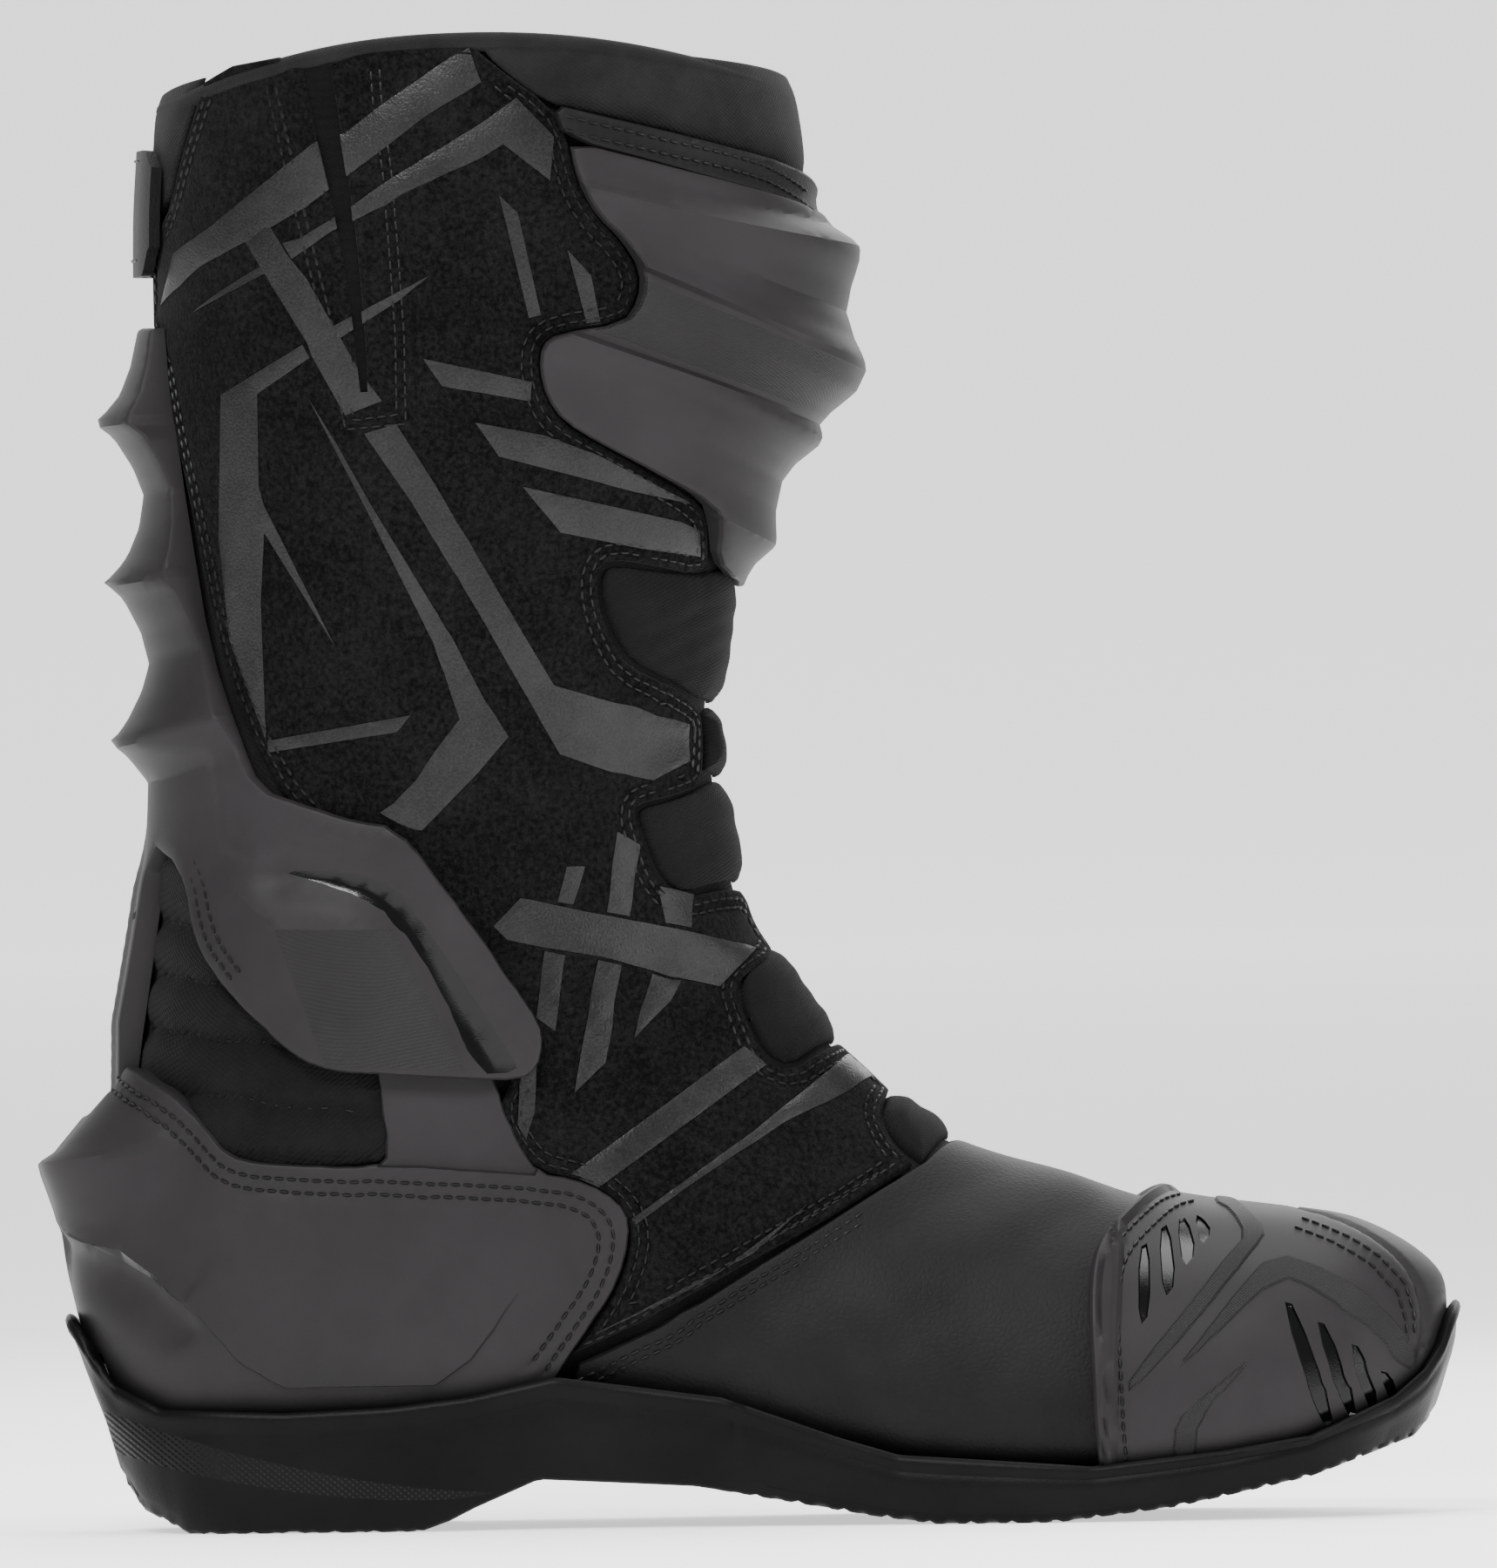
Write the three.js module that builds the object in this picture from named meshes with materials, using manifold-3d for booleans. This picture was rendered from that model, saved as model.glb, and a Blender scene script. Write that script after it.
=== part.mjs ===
// Left motorcycle riding boot, EU 42. Millimetres, +X towards the toe, +Y to the outside of the foot, +Z up.
// The upper is one smooth base surface, swept by slices that fan from the toe, round the heel and up the shaft.
// Every panel, guard and lining is a shell that lies between two offsets of that surface.
import * as THREE from "three";
import { mergeVertices } from "three/addons/utils/BufferGeometryUtils.js";
import Module from "manifold-3d";

const wasm = await Module();
wasm.setup();

// ---- Driving dimensions ----

const ANKLE = { x: -71, z: 107 }; // the ankle pivot's axis, along Y
const PIN_RADIUS = 3;
const PIN_HEAD_RADIUS = 5;
const RUNNING_GAP = 0.35;

const TO_ORIGIN = [-0.56, -2.24, 0]; // from the base surface's own origin to the frame's

// Layers, as offsets from the base surface, inner face then outer face
const LINING = [-5.4, -4.2];
const SHAFT_LINING = [-5.4, -3.7];
const STIFFENER = [-3.4, -2.2];
const SKIN = [-1.4, 0];
const OVERLAY = [0.5, 2.9];
const ARM = [4.1, 6.9]; // the calf guard's arms, outside the heel cup's uprights
const SOLE_GAP = 3.3; // the sole's cup stands this far off the base surface
const CUP_GAP = 1.9; // between the heel cup and the sole
const LIP = 2.6; // the thickness of the sole's lip

const STRUT_HALF_ANGLE = 10; // degrees of slice angle each side of the back line
const POCKET_HALF_ANGLE = 14;
const POCKET_WALL = 2.4;

const ZIP_GAP = 5.5; // from the zip's middle to each panel's edge
const ZIP = { top: [-78, 256], bottom: [-60, 152], teeth: 20, tapeWidth: 9, lift: 2.4 };
const SLIDER_TRAVEL_START = 6; // from the zip's top stop to the slider's centre

// Slices of the base surface, from the toe to the rim. Each row is
// [front x, front z, back x, back z, inner half width, outer half width, middle y, widest at,
// front roundness, back roundness]
const SLICES = [
  [149.5, 47, 149.5, 39, 0, 0, -9, 0.6, 2.2, 2.6],
  [148.5, 51, 148.5, 33, 11, 11, -9, 0.6, 2.2, 2.6],
  [144, 55.5, 145.5, 28, 20, 21, -8.5, 0.62, 2.2, 2.8],
  [136.5, 60, 138.5, 23.5, 29, 30, -7.5, 0.65, 2.2, 3],
  [128, 63, 129, 18.5, 36, 38, -6, 0.68, 2.2, 3.2],
  [114, 65, 114, 12.5, 41, 44, -3.5, 0.7, 2.2, 3.4],
  [99, 67, 98, 9.5, 44, 48, -1, 0.72, 2.1, 3.5],
  [84, 70, 81, 7.5, 45.5, 50, 0.5, 0.73, 2.1, 3.5],
  [69, 75, 62, 7, 45.5, 50, 1, 0.74, 2, 3.5],
  [56, 79, 41, 8.5, 44, 48.5, 1.5, 0.74, 2, 3.5],
  [44, 84, 19, 12.5, 42, 46, 1.5, 0.73, 1.95, 3.4],
  [33, 91, -8, 18, 40, 43, 1.5, 0.72, 1.95, 3.3],
  [23, 101, -38, 24, 39, 41, 1, 0.7, 2, 3.2],
  [14, 112, -73, 21, 39.5, 41, 0.5, 0.68, 2, 3],
  [7, 123, -103, 20, 40, 41, 0, 0.65, 2, 2.7],
  [1, 134, -127, 23, 40.5, 41, 0, 0.62, 2.05, 2.5],
  [-2, 145, -136, 36, 40.5, 41, 0, 0.6, 2.1, 2.4],
  [-4, 156, -138, 53, 40.5, 41, 0, 0.58, 2.1, 2.3],
  [-5, 167, -136, 69, 41, 41, 0, 0.56, 2.1, 2.3],
  [-6, 177, -132, 88, 41.5, 41.5, 0, 0.54, 2.1, 2.25],
  [-4, 190, -129, 110, 42.5, 42.5, 0, 0.53, 2.1, 2.2],
  [-2, 203, -126, 138, 44, 44, 0, 0.52, 2.1, 2.2],
  [3, 218, -124, 168, 46.5, 46.5, 0, 0.52, 2.1, 2.2],
  [10, 235, -124, 201, 49.5, 49.5, 0, 0.52, 2.1, 2.2],
  [15, 252, -125, 230, 52, 52, 0, 0.52, 2.1, 2.2],
  [17, 269, -126, 258, 54, 54, 0, 0.52, 2.1, 2.2],
  [16, 286, -126, 283, 55, 55, 0, 0.52, 2.1, 2.2],
  [15, 301, -125, 300, 55, 55, 0, 0.52, 2.1, 2.2],
  [13, 315, -124, 313, 54.5, 54.5, 0, 0.52, 2.1, 2.2],
  [12, 328, -123, 326, 54, 54, 0, 0.52, 2.1, 2.2],
];
const LAST_SLICE = SLICES.length - 1;

// The slices at which the lining changes hands between foot, ankle sleeve and leg
const LEG_FROM = 21.1;
const footTop = (phi) => 9.9 + 9.2 * (Math.abs(phi) / Math.PI);

// ---- Small helpers ----

const rad = THREE.MathUtils.degToRad;
const clamp = THREE.MathUtils.clamp;
const smooth = THREE.MathUtils.smoothstep;
const TURN = 2 * Math.PI;

// A value that follows straight stretches between [x, value] pairs
function along(table, x) {
  if (x <= table[0][0]) return table[0][1];
  for (let i = 1; i < table.length; i++) {
    const [x1, v1] = table[i];
    const [x0, v0] = table[i - 1];
    if (x <= x1) return v0 + ((v1 - v0) * (x - x0)) / (x1 - x0);
  }
  return table[table.length - 1][1];
}

// The point at a share of the length of a polyline of [x, z] points
function pointAt(line, share) {
  const steps = line.slice(1).map((p, i) => Math.hypot(p[0] - line[i][0], p[1] - line[i][1]));
  let left = share * steps.reduce((a, b) => a + b, 0);
  for (let i = 0; i < steps.length; i++) {
    if (left <= steps[i] || i === steps.length - 1) {
      const k = clamp(left / steps[i], 0, 1);
      return [0, 1].map((c) => line[i][c] + (line[i + 1][c] - line[i][c]) * k);
    }
    left -= steps[i];
  }
}

// ---- The base surface ----

// The angle from the back line
const fromBack = (phi) => Math.abs(Math.PI - Math.abs(phi > Math.PI ? phi - TURN : phi));

function sliceAt(s) {
  const clamped = clamp(s, 0, LAST_SLICE);
  const i = Math.min(Math.floor(clamped), LAST_SLICE - 1);
  const f = clamped - i;
  const row = (k) => SLICES[clamp(k, 0, LAST_SLICE)];
  return SLICES[0].map((_, c) => {
    const [a, b, d, e] = [row(i - 1)[c], row(i)[c], row(i + 1)[c], row(i + 2)[c]];
    return b + 0.5 * f * (d - a + f * (2 * a - 5 * b + 4 * d - e + f * (3 * (b - d) + e - a)));
  });
}

// A point of the base surface. phi is 0 on the front line, 90 degrees on the inner side of the foot,
// 180 degrees on the back line, and negative (or over 180) on the outer side.
function base(s, phi) {
  const [fx, fz, bx, bz, inner, outer, middle, widest, front, back] = sliceAt(s);
  const c = Math.cos(phi);
  const n = Math.sin(phi);
  const round = c >= 0 ? front : back;
  const depth = Math.pow(Math.abs(c), 2 / round);
  const t = c >= 0 ? widest * (1 - depth) : widest + (1 - widest) * depth;
  const wide = Math.pow(Math.abs(n), 2 / round) * (n >= 0 ? -inner : outer);
  return new THREE.Vector3(fx + (bx - fx) * t, middle + wide, fz + (bz - fz) * t);
}

function normalAt(s, angle) {
  const s0 = clamp(s, 0.3, LAST_SLICE - 0.1);
  const phi = s < 0.01 ? Math.PI - fromBack(angle) : angle; // both sides share the toe's end slice
  const STEP = 0.03;
  const ds = base(s0 + STEP, phi).sub(base(s0 - STEP, phi));
  const dp = base(s0, phi + STEP).sub(base(s0, phi - STEP));
  const normal = ds.cross(dp).normalize();
  if (s < 0.01) normal.y = 0;
  return normal.normalize();
}

const surface = (s, phi, off) => base(s, phi).addScaledVector(normalAt(s, phi), off);

// The slice and angle of the side view's point x, z, on the inner side (side 1) or the outer side (side -1)
function find(x, z, side = 1) {
  const reach = (s) => {
    const [fx, fz, bx, bz] = sliceAt(s);
    return (bx - fx) * (z - fz) - (bz - fz) * (x - fx);
  };
  const STEP = 0.2;
  const from = (s) => {
    const [fx, fz, bx, bz, , , , widest, front, back] = sliceAt(s);
    const raw = ((x - fx) * (bx - fx) + (z - fz) * (bz - fz)) / ((bx - fx) ** 2 + (bz - fz) ** 2);
    const t = clamp(raw, 0, 1);
    const ahead = t < widest;
    const depth = ahead ? Math.pow(1 - t / widest, front / 2) : -Math.pow((t - widest) / (1 - widest), back / 2);
    return { over: Math.max(0, raw - 1, -raw), s, phi: side * Math.acos(clamp(depth, -1, 1)) };
  };
  let best = null;
  for (let a = 0; a < LAST_SLICE; a += STEP) {
    let [lo, hi] = [a, Math.min(a + STEP, LAST_SLICE)];
    if (reach(lo) * reach(hi) > 0) continue;
    for (let k = 0; k < 24; k++) {
      const mid = (lo + hi) / 2;
      if (reach(lo) * reach(mid) <= 0) hi = mid;
      else lo = mid;
    }
    const found = from(lo);
    if (!best || found.over < best.over) best = found;
  }
  if (!best) best = from(x > 100 ? 0 : LAST_SLICE); // past the toe's tip, or above the rim
  return [best.s, best.phi];
}

// ---- Solids ----

function geometryOf(vertices, faces) {
  const g = new THREE.BufferGeometry();
  const numbers = new Float32Array(vertices.flatMap((v) => v.toArray()));
  g.setAttribute("position", new THREE.BufferAttribute(numbers, 3));
  g.setIndex(faces.flat());
  const merged = mergeVertices(g, 1e-3);
  const index = [...merged.index.array];
  const kept = [];
  for (let i = 0; i < index.length; i += 3) {
    const [a, b, c] = index.slice(i, i + 3);
    if (a !== b && b !== c && a !== c) kept.push([a, b, c]);
  }
  const p = merged.attributes.position;
  const at = (i) => new THREE.Vector3().fromBufferAttribute(p, i);
  const volume = kept.reduce((sum, [a, b, c]) => sum + at(a).dot(at(b).cross(at(c))), 0);
  merged.setIndex((volume < 0 ? kept.map(([a, b, c]) => [a, c, b]) : kept).flat());
  return merged;
}

function manifoldOf(geometry) {
  const g = new THREE.BufferGeometry().setAttribute("position", geometry.getAttribute("position"));
  g.setIndex(geometry.index);
  const merged = mergeVertices(g, 1e-4);
  return new wasm.Manifold(
    new wasm.Mesh({
      numProp: 3,
      vertProperties: merged.attributes.position.array,
      triVerts: new Uint32Array(merged.index.array),
    }),
  );
}

function geometryFrom(manifold) {
  const mesh = manifold.getMesh();
  const g = new THREE.BufferGeometry();
  g.setAttribute("position", new THREE.BufferAttribute(new Float32Array(mesh.vertProperties), 3));
  g.setIndex([...mesh.triVerts]);
  return g;
}

const joined = (...parts) => geometryFrom(parts.map(manifoldOf).reduce((a, b) => a.add(b)));
const cut = (part, ...tools) => geometryFrom(tools.map(manifoldOf).reduce((a, b) => a.subtract(b), manifoldOf(part)));

// A shell between two offsets of the base surface, over a grid of rows and columns.
// at(i, j) gives the slice and angle. around joins the last column to the first. toe closes row 0 on itself.
function shell({ rows, cols, at, inner, outer, around = false, toe = false }) {
  const value = (f, s, phi) => (typeof f === "function" ? f(s, phi) : f);
  const count = around ? cols : cols + 1;
  const vertices = [];
  const faces = [];
  for (const face of [outer, inner])
    for (let i = 0; i <= rows; i++)
      for (let j = 0; j < count; j++) {
        const [s, phi] = at(i / rows, j / cols);
        vertices.push(surface(s, phi, value(face, s, phi)));
      }
  const half = (rows + 1) * count;
  const id = (layer, i, j) => layer * half + i * count + (j % count);
  const quad = (a, b, c, d) => faces.push([a, b, c], [a, c, d]);
  for (let i = 0; i < rows; i++)
    for (let j = 0; j < cols; j++) {
      quad(id(0, i, j), id(0, i, j + 1), id(0, i + 1, j + 1), id(0, i + 1, j));
      quad(id(1, i, j), id(1, i + 1, j), id(1, i + 1, j + 1), id(1, i, j + 1));
    }
  for (let j = 0; j < cols; j++) {
    if (!toe) quad(id(0, 0, j), id(1, 0, j), id(1, 0, j + 1), id(0, 0, j + 1));
    quad(id(0, rows, j), id(0, rows, j + 1), id(1, rows, j + 1), id(1, rows, j));
  }
  if (!around)
    for (let i = 0; i < rows; i++) {
      quad(id(0, i, 0), id(0, i + 1, 0), id(1, i + 1, 0), id(1, i, 0));
      quad(id(0, i, cols), id(1, i, cols), id(1, i + 1, cols), id(0, i + 1, cols));
    }
  return geometryOf(vertices, faces);
}

// A panel, given as rows. Each row runs straight in the side view from its first point to its second.
// toward 0 or Math.PI: the second points lie on the front or the back line, and the panel crosses it,
// the same on both sides. Otherwise the panel stays on one side.
// guides are the shares of a row at which it is held to its straight line.
function panel({ rows, side = 1, toward = null, guides = [0.34, 0.67], longest = 20, cols = 2, layer }) {
  const split = [];
  rows.forEach((row, i) => {
    if (i) {
      const last = rows[i - 1];
      const step = Math.max(...[0, 1].map((e) => Math.hypot(row[e][0] - last[e][0], row[e][1] - last[e][1])));
      const parts = Math.ceil(step / longest);
      for (let k = 1; k < parts; k++)
        split.push(row.map((p, e) => p.map((c, n) => last[e][n] + ((c - last[e][n]) * k) / parts)));
    }
    split.push(row);
  });
  const marks = [0, ...guides, 1];
  const nodes = split.map(([a, b]) =>
    marks.map((m) => {
      const found = find(a[0] + (b[0] - a[0]) * m, a[1] + (b[1] - a[1]) * m, side);
      return m === 1 && toward !== null ? [found[0], toward] : found;
    }),
  );
  if (toward !== null)
    for (const row of nodes) {
      const mirrored = row.slice(0, -1).map(([s, phi]) => [s, 2 * toward - phi]);
      row.push(...mirrored.reverse());
    }
  const spans = nodes[0].length - 1;
  const at = (i, v) => {
    const place = Math.min(v * spans, spans - 1e-9);
    const k = Math.floor(place);
    return [0, 1].map((c) => nodes[i][k][c] + (nodes[i][k + 1][c] - nodes[i][k][c]) * (place - k));
  };
  const count = split.length - 1;
  return shell({ rows: count, cols: spans * cols, at: (u, v) => at(Math.round(u * count), v), inner: layer[0], outer: layer[1] });
}

function cylinderY(radius, y0, y1, x, z, segments = 20) {
  const g = new THREE.CylinderGeometry(radius, radius, Math.abs(y1 - y0), segments);
  g.deleteAttribute("normal");
  g.deleteAttribute("uv");
  return mergeVertices(g.translate(x, (y0 + y1) / 2, z), 1e-4);
}

// ---- Materials and the list of pieces ----

const material = (color, roughness, metalness = 0) => new THREE.MeshStandardMaterial({ color, roughness, metalness });
const MATERIALS = {
  rubber: material(0x1b1b1c, 0.6),
  guard: material(0x363435, 0.5),
  suede: material(0x0d0d0e, 0.95),
  microfibre: material(0x2c2a2b, 0.6),
  stretch: material(0x201f20, 0.85),
  lining: material(0x18181a, 0.9),
  gloss: material(0x2b2c30, 0.12),
  board: material(0x8a8378, 0.8),
  steel: material(0x8c8c90, 0.35, 0.9),
  zip: material(0x161617, 0.45),
};
const boot = new THREE.Group();

function add(name, geometry, kind) {
  const mesh = new THREE.Mesh(geometry, MATERIALS[kind]);
  mesh.name = name;
  boot.add(mesh);
  return mesh;
}

const SIDES = [
  ["medial", 1],
  ["lateral", -1],
];

// ---- Reliefs: how far the moulded guards stand off the base surface ----

// The heel cup's outer face swells to a spur behind the heel
const HEEL_REAR = [
  [20, 3],
  [38, 6],
  [53, 9.5],
  [69, 15],
  [75, 20],
  [87, 13],
  [93, 9.6],
  [100, 6],
];
const heelOuter = (s, phi) => {
  const z = base(s, Math.PI).z;
  const fade = 1 - smooth(fromBack(phi), rad(8), rad(50));
  return OVERLAY[1] + (along(HEEL_REAR, z) - OVERLAY[1]) * fade;
};
const heelInner = (s, phi) => {
  const fade = 1 - smooth(fromBack(phi), rad(POCKET_HALF_ANGLE), rad(POCKET_HALF_ANGLE + 8));
  const z = base(s, Math.PI).z;
  const pocket = z > 56 ? Math.max(OVERLAY[0], heelOuter(s, phi) - POCKET_WALL) : OVERLAY[0];
  return OVERLAY[0] + (pocket - OVERLAY[0]) * fade;
};

// The calf guard's spine carries three fins
const SPINE_REAR = [
  [148, 5],
  [163, 5.5],
  [172, 12],
  [176, 9],
  [189, 4.7],
  [207, 12],
  [211, 9],
  [226, 4],
  [242, 12.5],
  [246, 9],
  [262, 4],
];
const spineOuter = (s, phi) => {
  const fade = 1 - smooth(fromBack(phi), rad(5), rad(75));
  return 3 + (along(SPINE_REAR, base(s, Math.PI).z) - 3) * fade;
};

// The shin guard's ridges run down towards the front
const SHIN_FRONT = [
  [203, 3],
  [210, 4],
  [215, 7],
  [229, 3.2],
  [239, 8],
  [242, 6],
  [249, 13],
  [254, 13.5],
  [265, 8],
  [276, 11],
  [282, 4.5],
  [290, 3],
];
const shinOuter = (s, phi) => {
  const p = base(s, phi);
  const fade = 1 - smooth(Math.abs(phi), rad(15), rad(75));
  const rise = 0.32 * (base(s, 0).x - p.x);
  return 3 + (along(SHIN_FRONT, p.z - rise) - 3) * fade;
};

// ---- Outlines in the side view, as [x, z] ----

// The side panels' rows, from the rim to the vamp's seam: front edge, rear edge
const PANEL_ROWS = [
  [[-48, 322], [-113, 317]],
  [[-39, 308], [-117, 303]],
  [[-30, 286], [-121, 288]],
  [[-24, 276], [-122.5, 276]],
  [[-38, 257], [-122.5, 262]],
  [[-37, 242], [-121, 244]],
  [[-12, 223], [-117, 222]],
  [[-9, 210], [-114, 208]],
  [[-27, 208], [-113, 203]],
  [[-28, 197], [-111, 193]],
  [[-22, 184], [-108, 182]],
  [[-9, 176], [-105, 173]],
  [[-9, 163], [-101, 163]],
  [[-22, 157], [-88, 157.5]],
  [[-19, 142], [-75, 153]],
  [[0, 137], [-66, 143]],
  [[4, 128], [-60, 133]],
  [[-1, 116], [-53, 122]],
  [[6, 104], [-46, 111]],
  [[17, 103], [-49, 99]],
  [[27, 95.5], [-46, 84]],
  [[30, 85], [-29, 73]],
  [[34, 77.5], [-25, 63]],
  [[33, 75.5], [-31, 47]],
  [[31, 74], [-38, 35.5]],
];
const SOLE_TOP = [
  [-150, 49], [-147, 45], [-143, 38.5], [-138, 32], [-128, 27], [-101, 26], [-78, 27], [-61, 29], [-42, 33], [-6, 28],
  [19, 19], [32, 15], [74, 12], [102, 15], [121, 18], [140, 26], [147, 31.5], [151, 37], [153.5, 43], [155, 46],
];
const SOLE_BOTTOM = [
  [-135, 10], [-132, 5], [-122, 0], [-72, 0], [-66, 2], [-60, 5], [-46, 11], [-12, 9], [26, 2], [40, 0], [66, 0],
  [92, 3], [121, 9], [144, 17], [149, 22],
];

// ---- Foot: sole, insole, boards ----

// The solid that the upper and the heel cup take up inside the sole
const SOLID_ROWS = 32;
const SOLID_COLS = 26;
function upperSolid() {
  const top = 20;
  const vertices = [];
  const faces = [];
  for (let i = 0; i <= SOLID_ROWS; i++)
    for (let j = 0; j < SOLID_COLS; j++) {
      const s = (top * i) / SOLID_ROWS;
      const phi = (TURN * j) / SOLID_COLS;
      const cup = s > 11 ? heelOuter(s, phi) + CUP_GAP : 0;
      vertices.push(surface(s, phi, Math.max(SOLE_GAP, cup)));
    }
  const id = (i, j) => i * SOLID_COLS + (j % SOLID_COLS);
  for (let i = 0; i < SOLID_ROWS; i++)
    for (let j = 0; j < SOLID_COLS; j++)
      faces.push([id(i, j), id(i, j + 1), id(i + 1, j + 1)], [id(i, j), id(i + 1, j + 1), id(i + 1, j)]);
  vertices.push(base(top, 0).lerp(base(top, Math.PI), 0.5));
  for (let j = 0; j < SOLID_COLS; j++) faces.push([id(SOLID_ROWS, j), id(SOLID_ROWS, j + 1), vertices.length - 1]);
  return geometryOf(vertices, faces);
}

// The sole is lofted from heel to toe. Each section runs from the top's middle, over the lip and the side wall,
// to the bottom's middle. Both sides share the end sections and the middle line.
const SOLE_SECTIONS = 30;
const SOLE_STRIP = 9; // points in a section, on one side
// The lip's edge on slice s: where the cup's outer face meets the height of the sole's top
function soleLip(s, side) {
  const stand = (phi) => Math.max(SOLE_GAP, s > 11 ? heelOuter(s, phi) + CUP_GAP : 0) + LIP;
  const edge = (phi) => surface(s, side * phi, stand(phi));
  let [lo, hi] = [rad(40), Math.PI];
  for (let k = 0; k < 30; k++) {
    const mid = (lo + hi) / 2;
    const p = edge(mid);
    if (p.z > along(SOLE_TOP, p.x)) lo = mid;
    else hi = mid;
  }
  const lip = edge(hi);
  const heel = 1 - smooth(lip.x, -150, -116);
  const toe = smooth(lip.x, 112, 152);
  const edgeX = clamp(lip.x + 14 * heel - 7 * toe, SOLE_BOTTOM[0][0], SOLE_BOTTOM.at(-1)[0]);
  return { x: lip.x, y: lip.y, z: lip.z, middle: sliceAt(s)[6], edgeX };
}

// The slice whose back point, in the sole's lip, stands at the height of the sole's top
function heelEndSlice() {
  let [lo, hi] = [14, 19];
  for (let k = 0; k < 30; k++) {
    const mid = (lo + hi) / 2;
    const p = surface(mid, Math.PI, heelOuter(mid, Math.PI) + LIP);
    if (p.z > along(SOLE_TOP, p.x)) hi = mid;
    else lo = mid;
  }
  return lo;
}
const HEEL_END = heelEndSlice();

function soleSection(share, side) {
  const end = share === 0 || share === 1;
  const s = HEEL_END * (1 - share) ** 0.9;
  const lip = soleLip(s, side);
  const other = soleLip(s, -side);
  const middleX = (lip.x + other.x) / 2;
  const middleEdgeX = (lip.edgeX + other.edgeX) / 2;
  const half = end ? 0 : lip.y - lip.middle;
  const x = end ? middleX : lip.x;
  const edgeX = end ? middleEdgeX : lip.edgeX;
  const low = along(SOLE_BOTTOM, edgeX);
  const lowMiddle = along(SOLE_BOTTOM, middleEdgeX);
  const z = end ? (lip.z + other.z) / 2 : lip.z;
  return [
    [middleX, 0, (lip.z + other.z) / 2],
    [(x + middleX) / 2, half * 0.6, z],
    [x, half, z],
    [x + (edgeX - x) * 0.25, half * 1.02, z + (low - z) * 0.3],
    [x + (edgeX - x) * 0.6, half, z + (low - z) * 0.65],
    [edgeX, half * 0.95, low + 2],
    [edgeX, half * 0.9, low],
    [(edgeX + middleEdgeX) / 2, half * 0.5, (low + lowMiddle) / 2],
    [middleEdgeX, 0, lowMiddle],
  ].map(([px, py, pz]) => new THREE.Vector3(px, lip.middle + py, pz));
}

function soleBlock() {
  const vertices = [];
  const faces = [];
  for (const side of [1, -1])
    for (let i = 0; i <= SOLE_SECTIONS; i++) vertices.push(...soleSection(i / SOLE_SECTIONS, side));
  for (const k of [0, 1])
    for (let i = 0; i < SOLE_SECTIONS; i++)
      for (let j = 0; j < SOLE_STRIP - 1; j++) {
        const a = (k * (SOLE_SECTIONS + 1) + i) * SOLE_STRIP + j;
        const [p, q, r, o] = [a, a + 1, a + SOLE_STRIP + 1, a + SOLE_STRIP];
        faces.push(...(k ? [[r, q, p], [o, r, p]] : [[p, q, r], [p, r, o]]));
      }
  return geometryOf(vertices, faces);
}

function foot() {
  add("outsole", cut(soleBlock(), upperSolid()), "rubber");
  const strip = (s0, s1, half, layer, rows, cols) =>
    shell({
      rows,
      cols,
      at: (u, v) => [s0 + (s1 - s0) * u, Math.PI + rad(half) * (2 * v - 1)],
      inner: layer[0],
      outer: layer[1],
    });
  add("shank", strip(8, 13.2, 7, [-1.2, 0], 6, 1), "steel");
  add("insole_board", strip(1.6, 15.8, 22, [-4.6, -2], 16, 4), "board");
  add("insole", strip(1.6, 15.8, 44, [-9.4, -6.2], 16, 8), "lining");
  for (const [name, side] of SIDES) {
    add(
      `foot_lining_${name}`,
      shell({
        rows: 14,
        cols: 7,
        at: (u, v) => {
          const phi = rad(2 + 133 * v);
          return [0.7 + (footTop(phi) - 0.7) * u, side * phi];
        },
        inner: LINING[0],
        outer: LINING[1],
      }),
      "lining",
    );
    add(
      `toe_puff_${name}`,
      shell({
        rows: 5,
        cols: 6,
        at: (u, v) => [0.8 + 3.6 * u, side * rad(3 + 122 * v)],
        inner: STIFFENER[0],
        outer: STIFFENER[1],
      }),
      "board",
    );
  }
  add(
    "heel_stiffener",
    shell({
      rows: 3,
      cols: 6,
      at: (u, v) => [16.2 + 1.1 * u, Math.PI + rad(34) * (2 * v - 1)],
      inner: STIFFENER[0],
      outer: STIFFENER[1],
    }),
    "board",
  );
}

// ---- Foot: vamp, toe cap, heel cup ----

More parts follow.
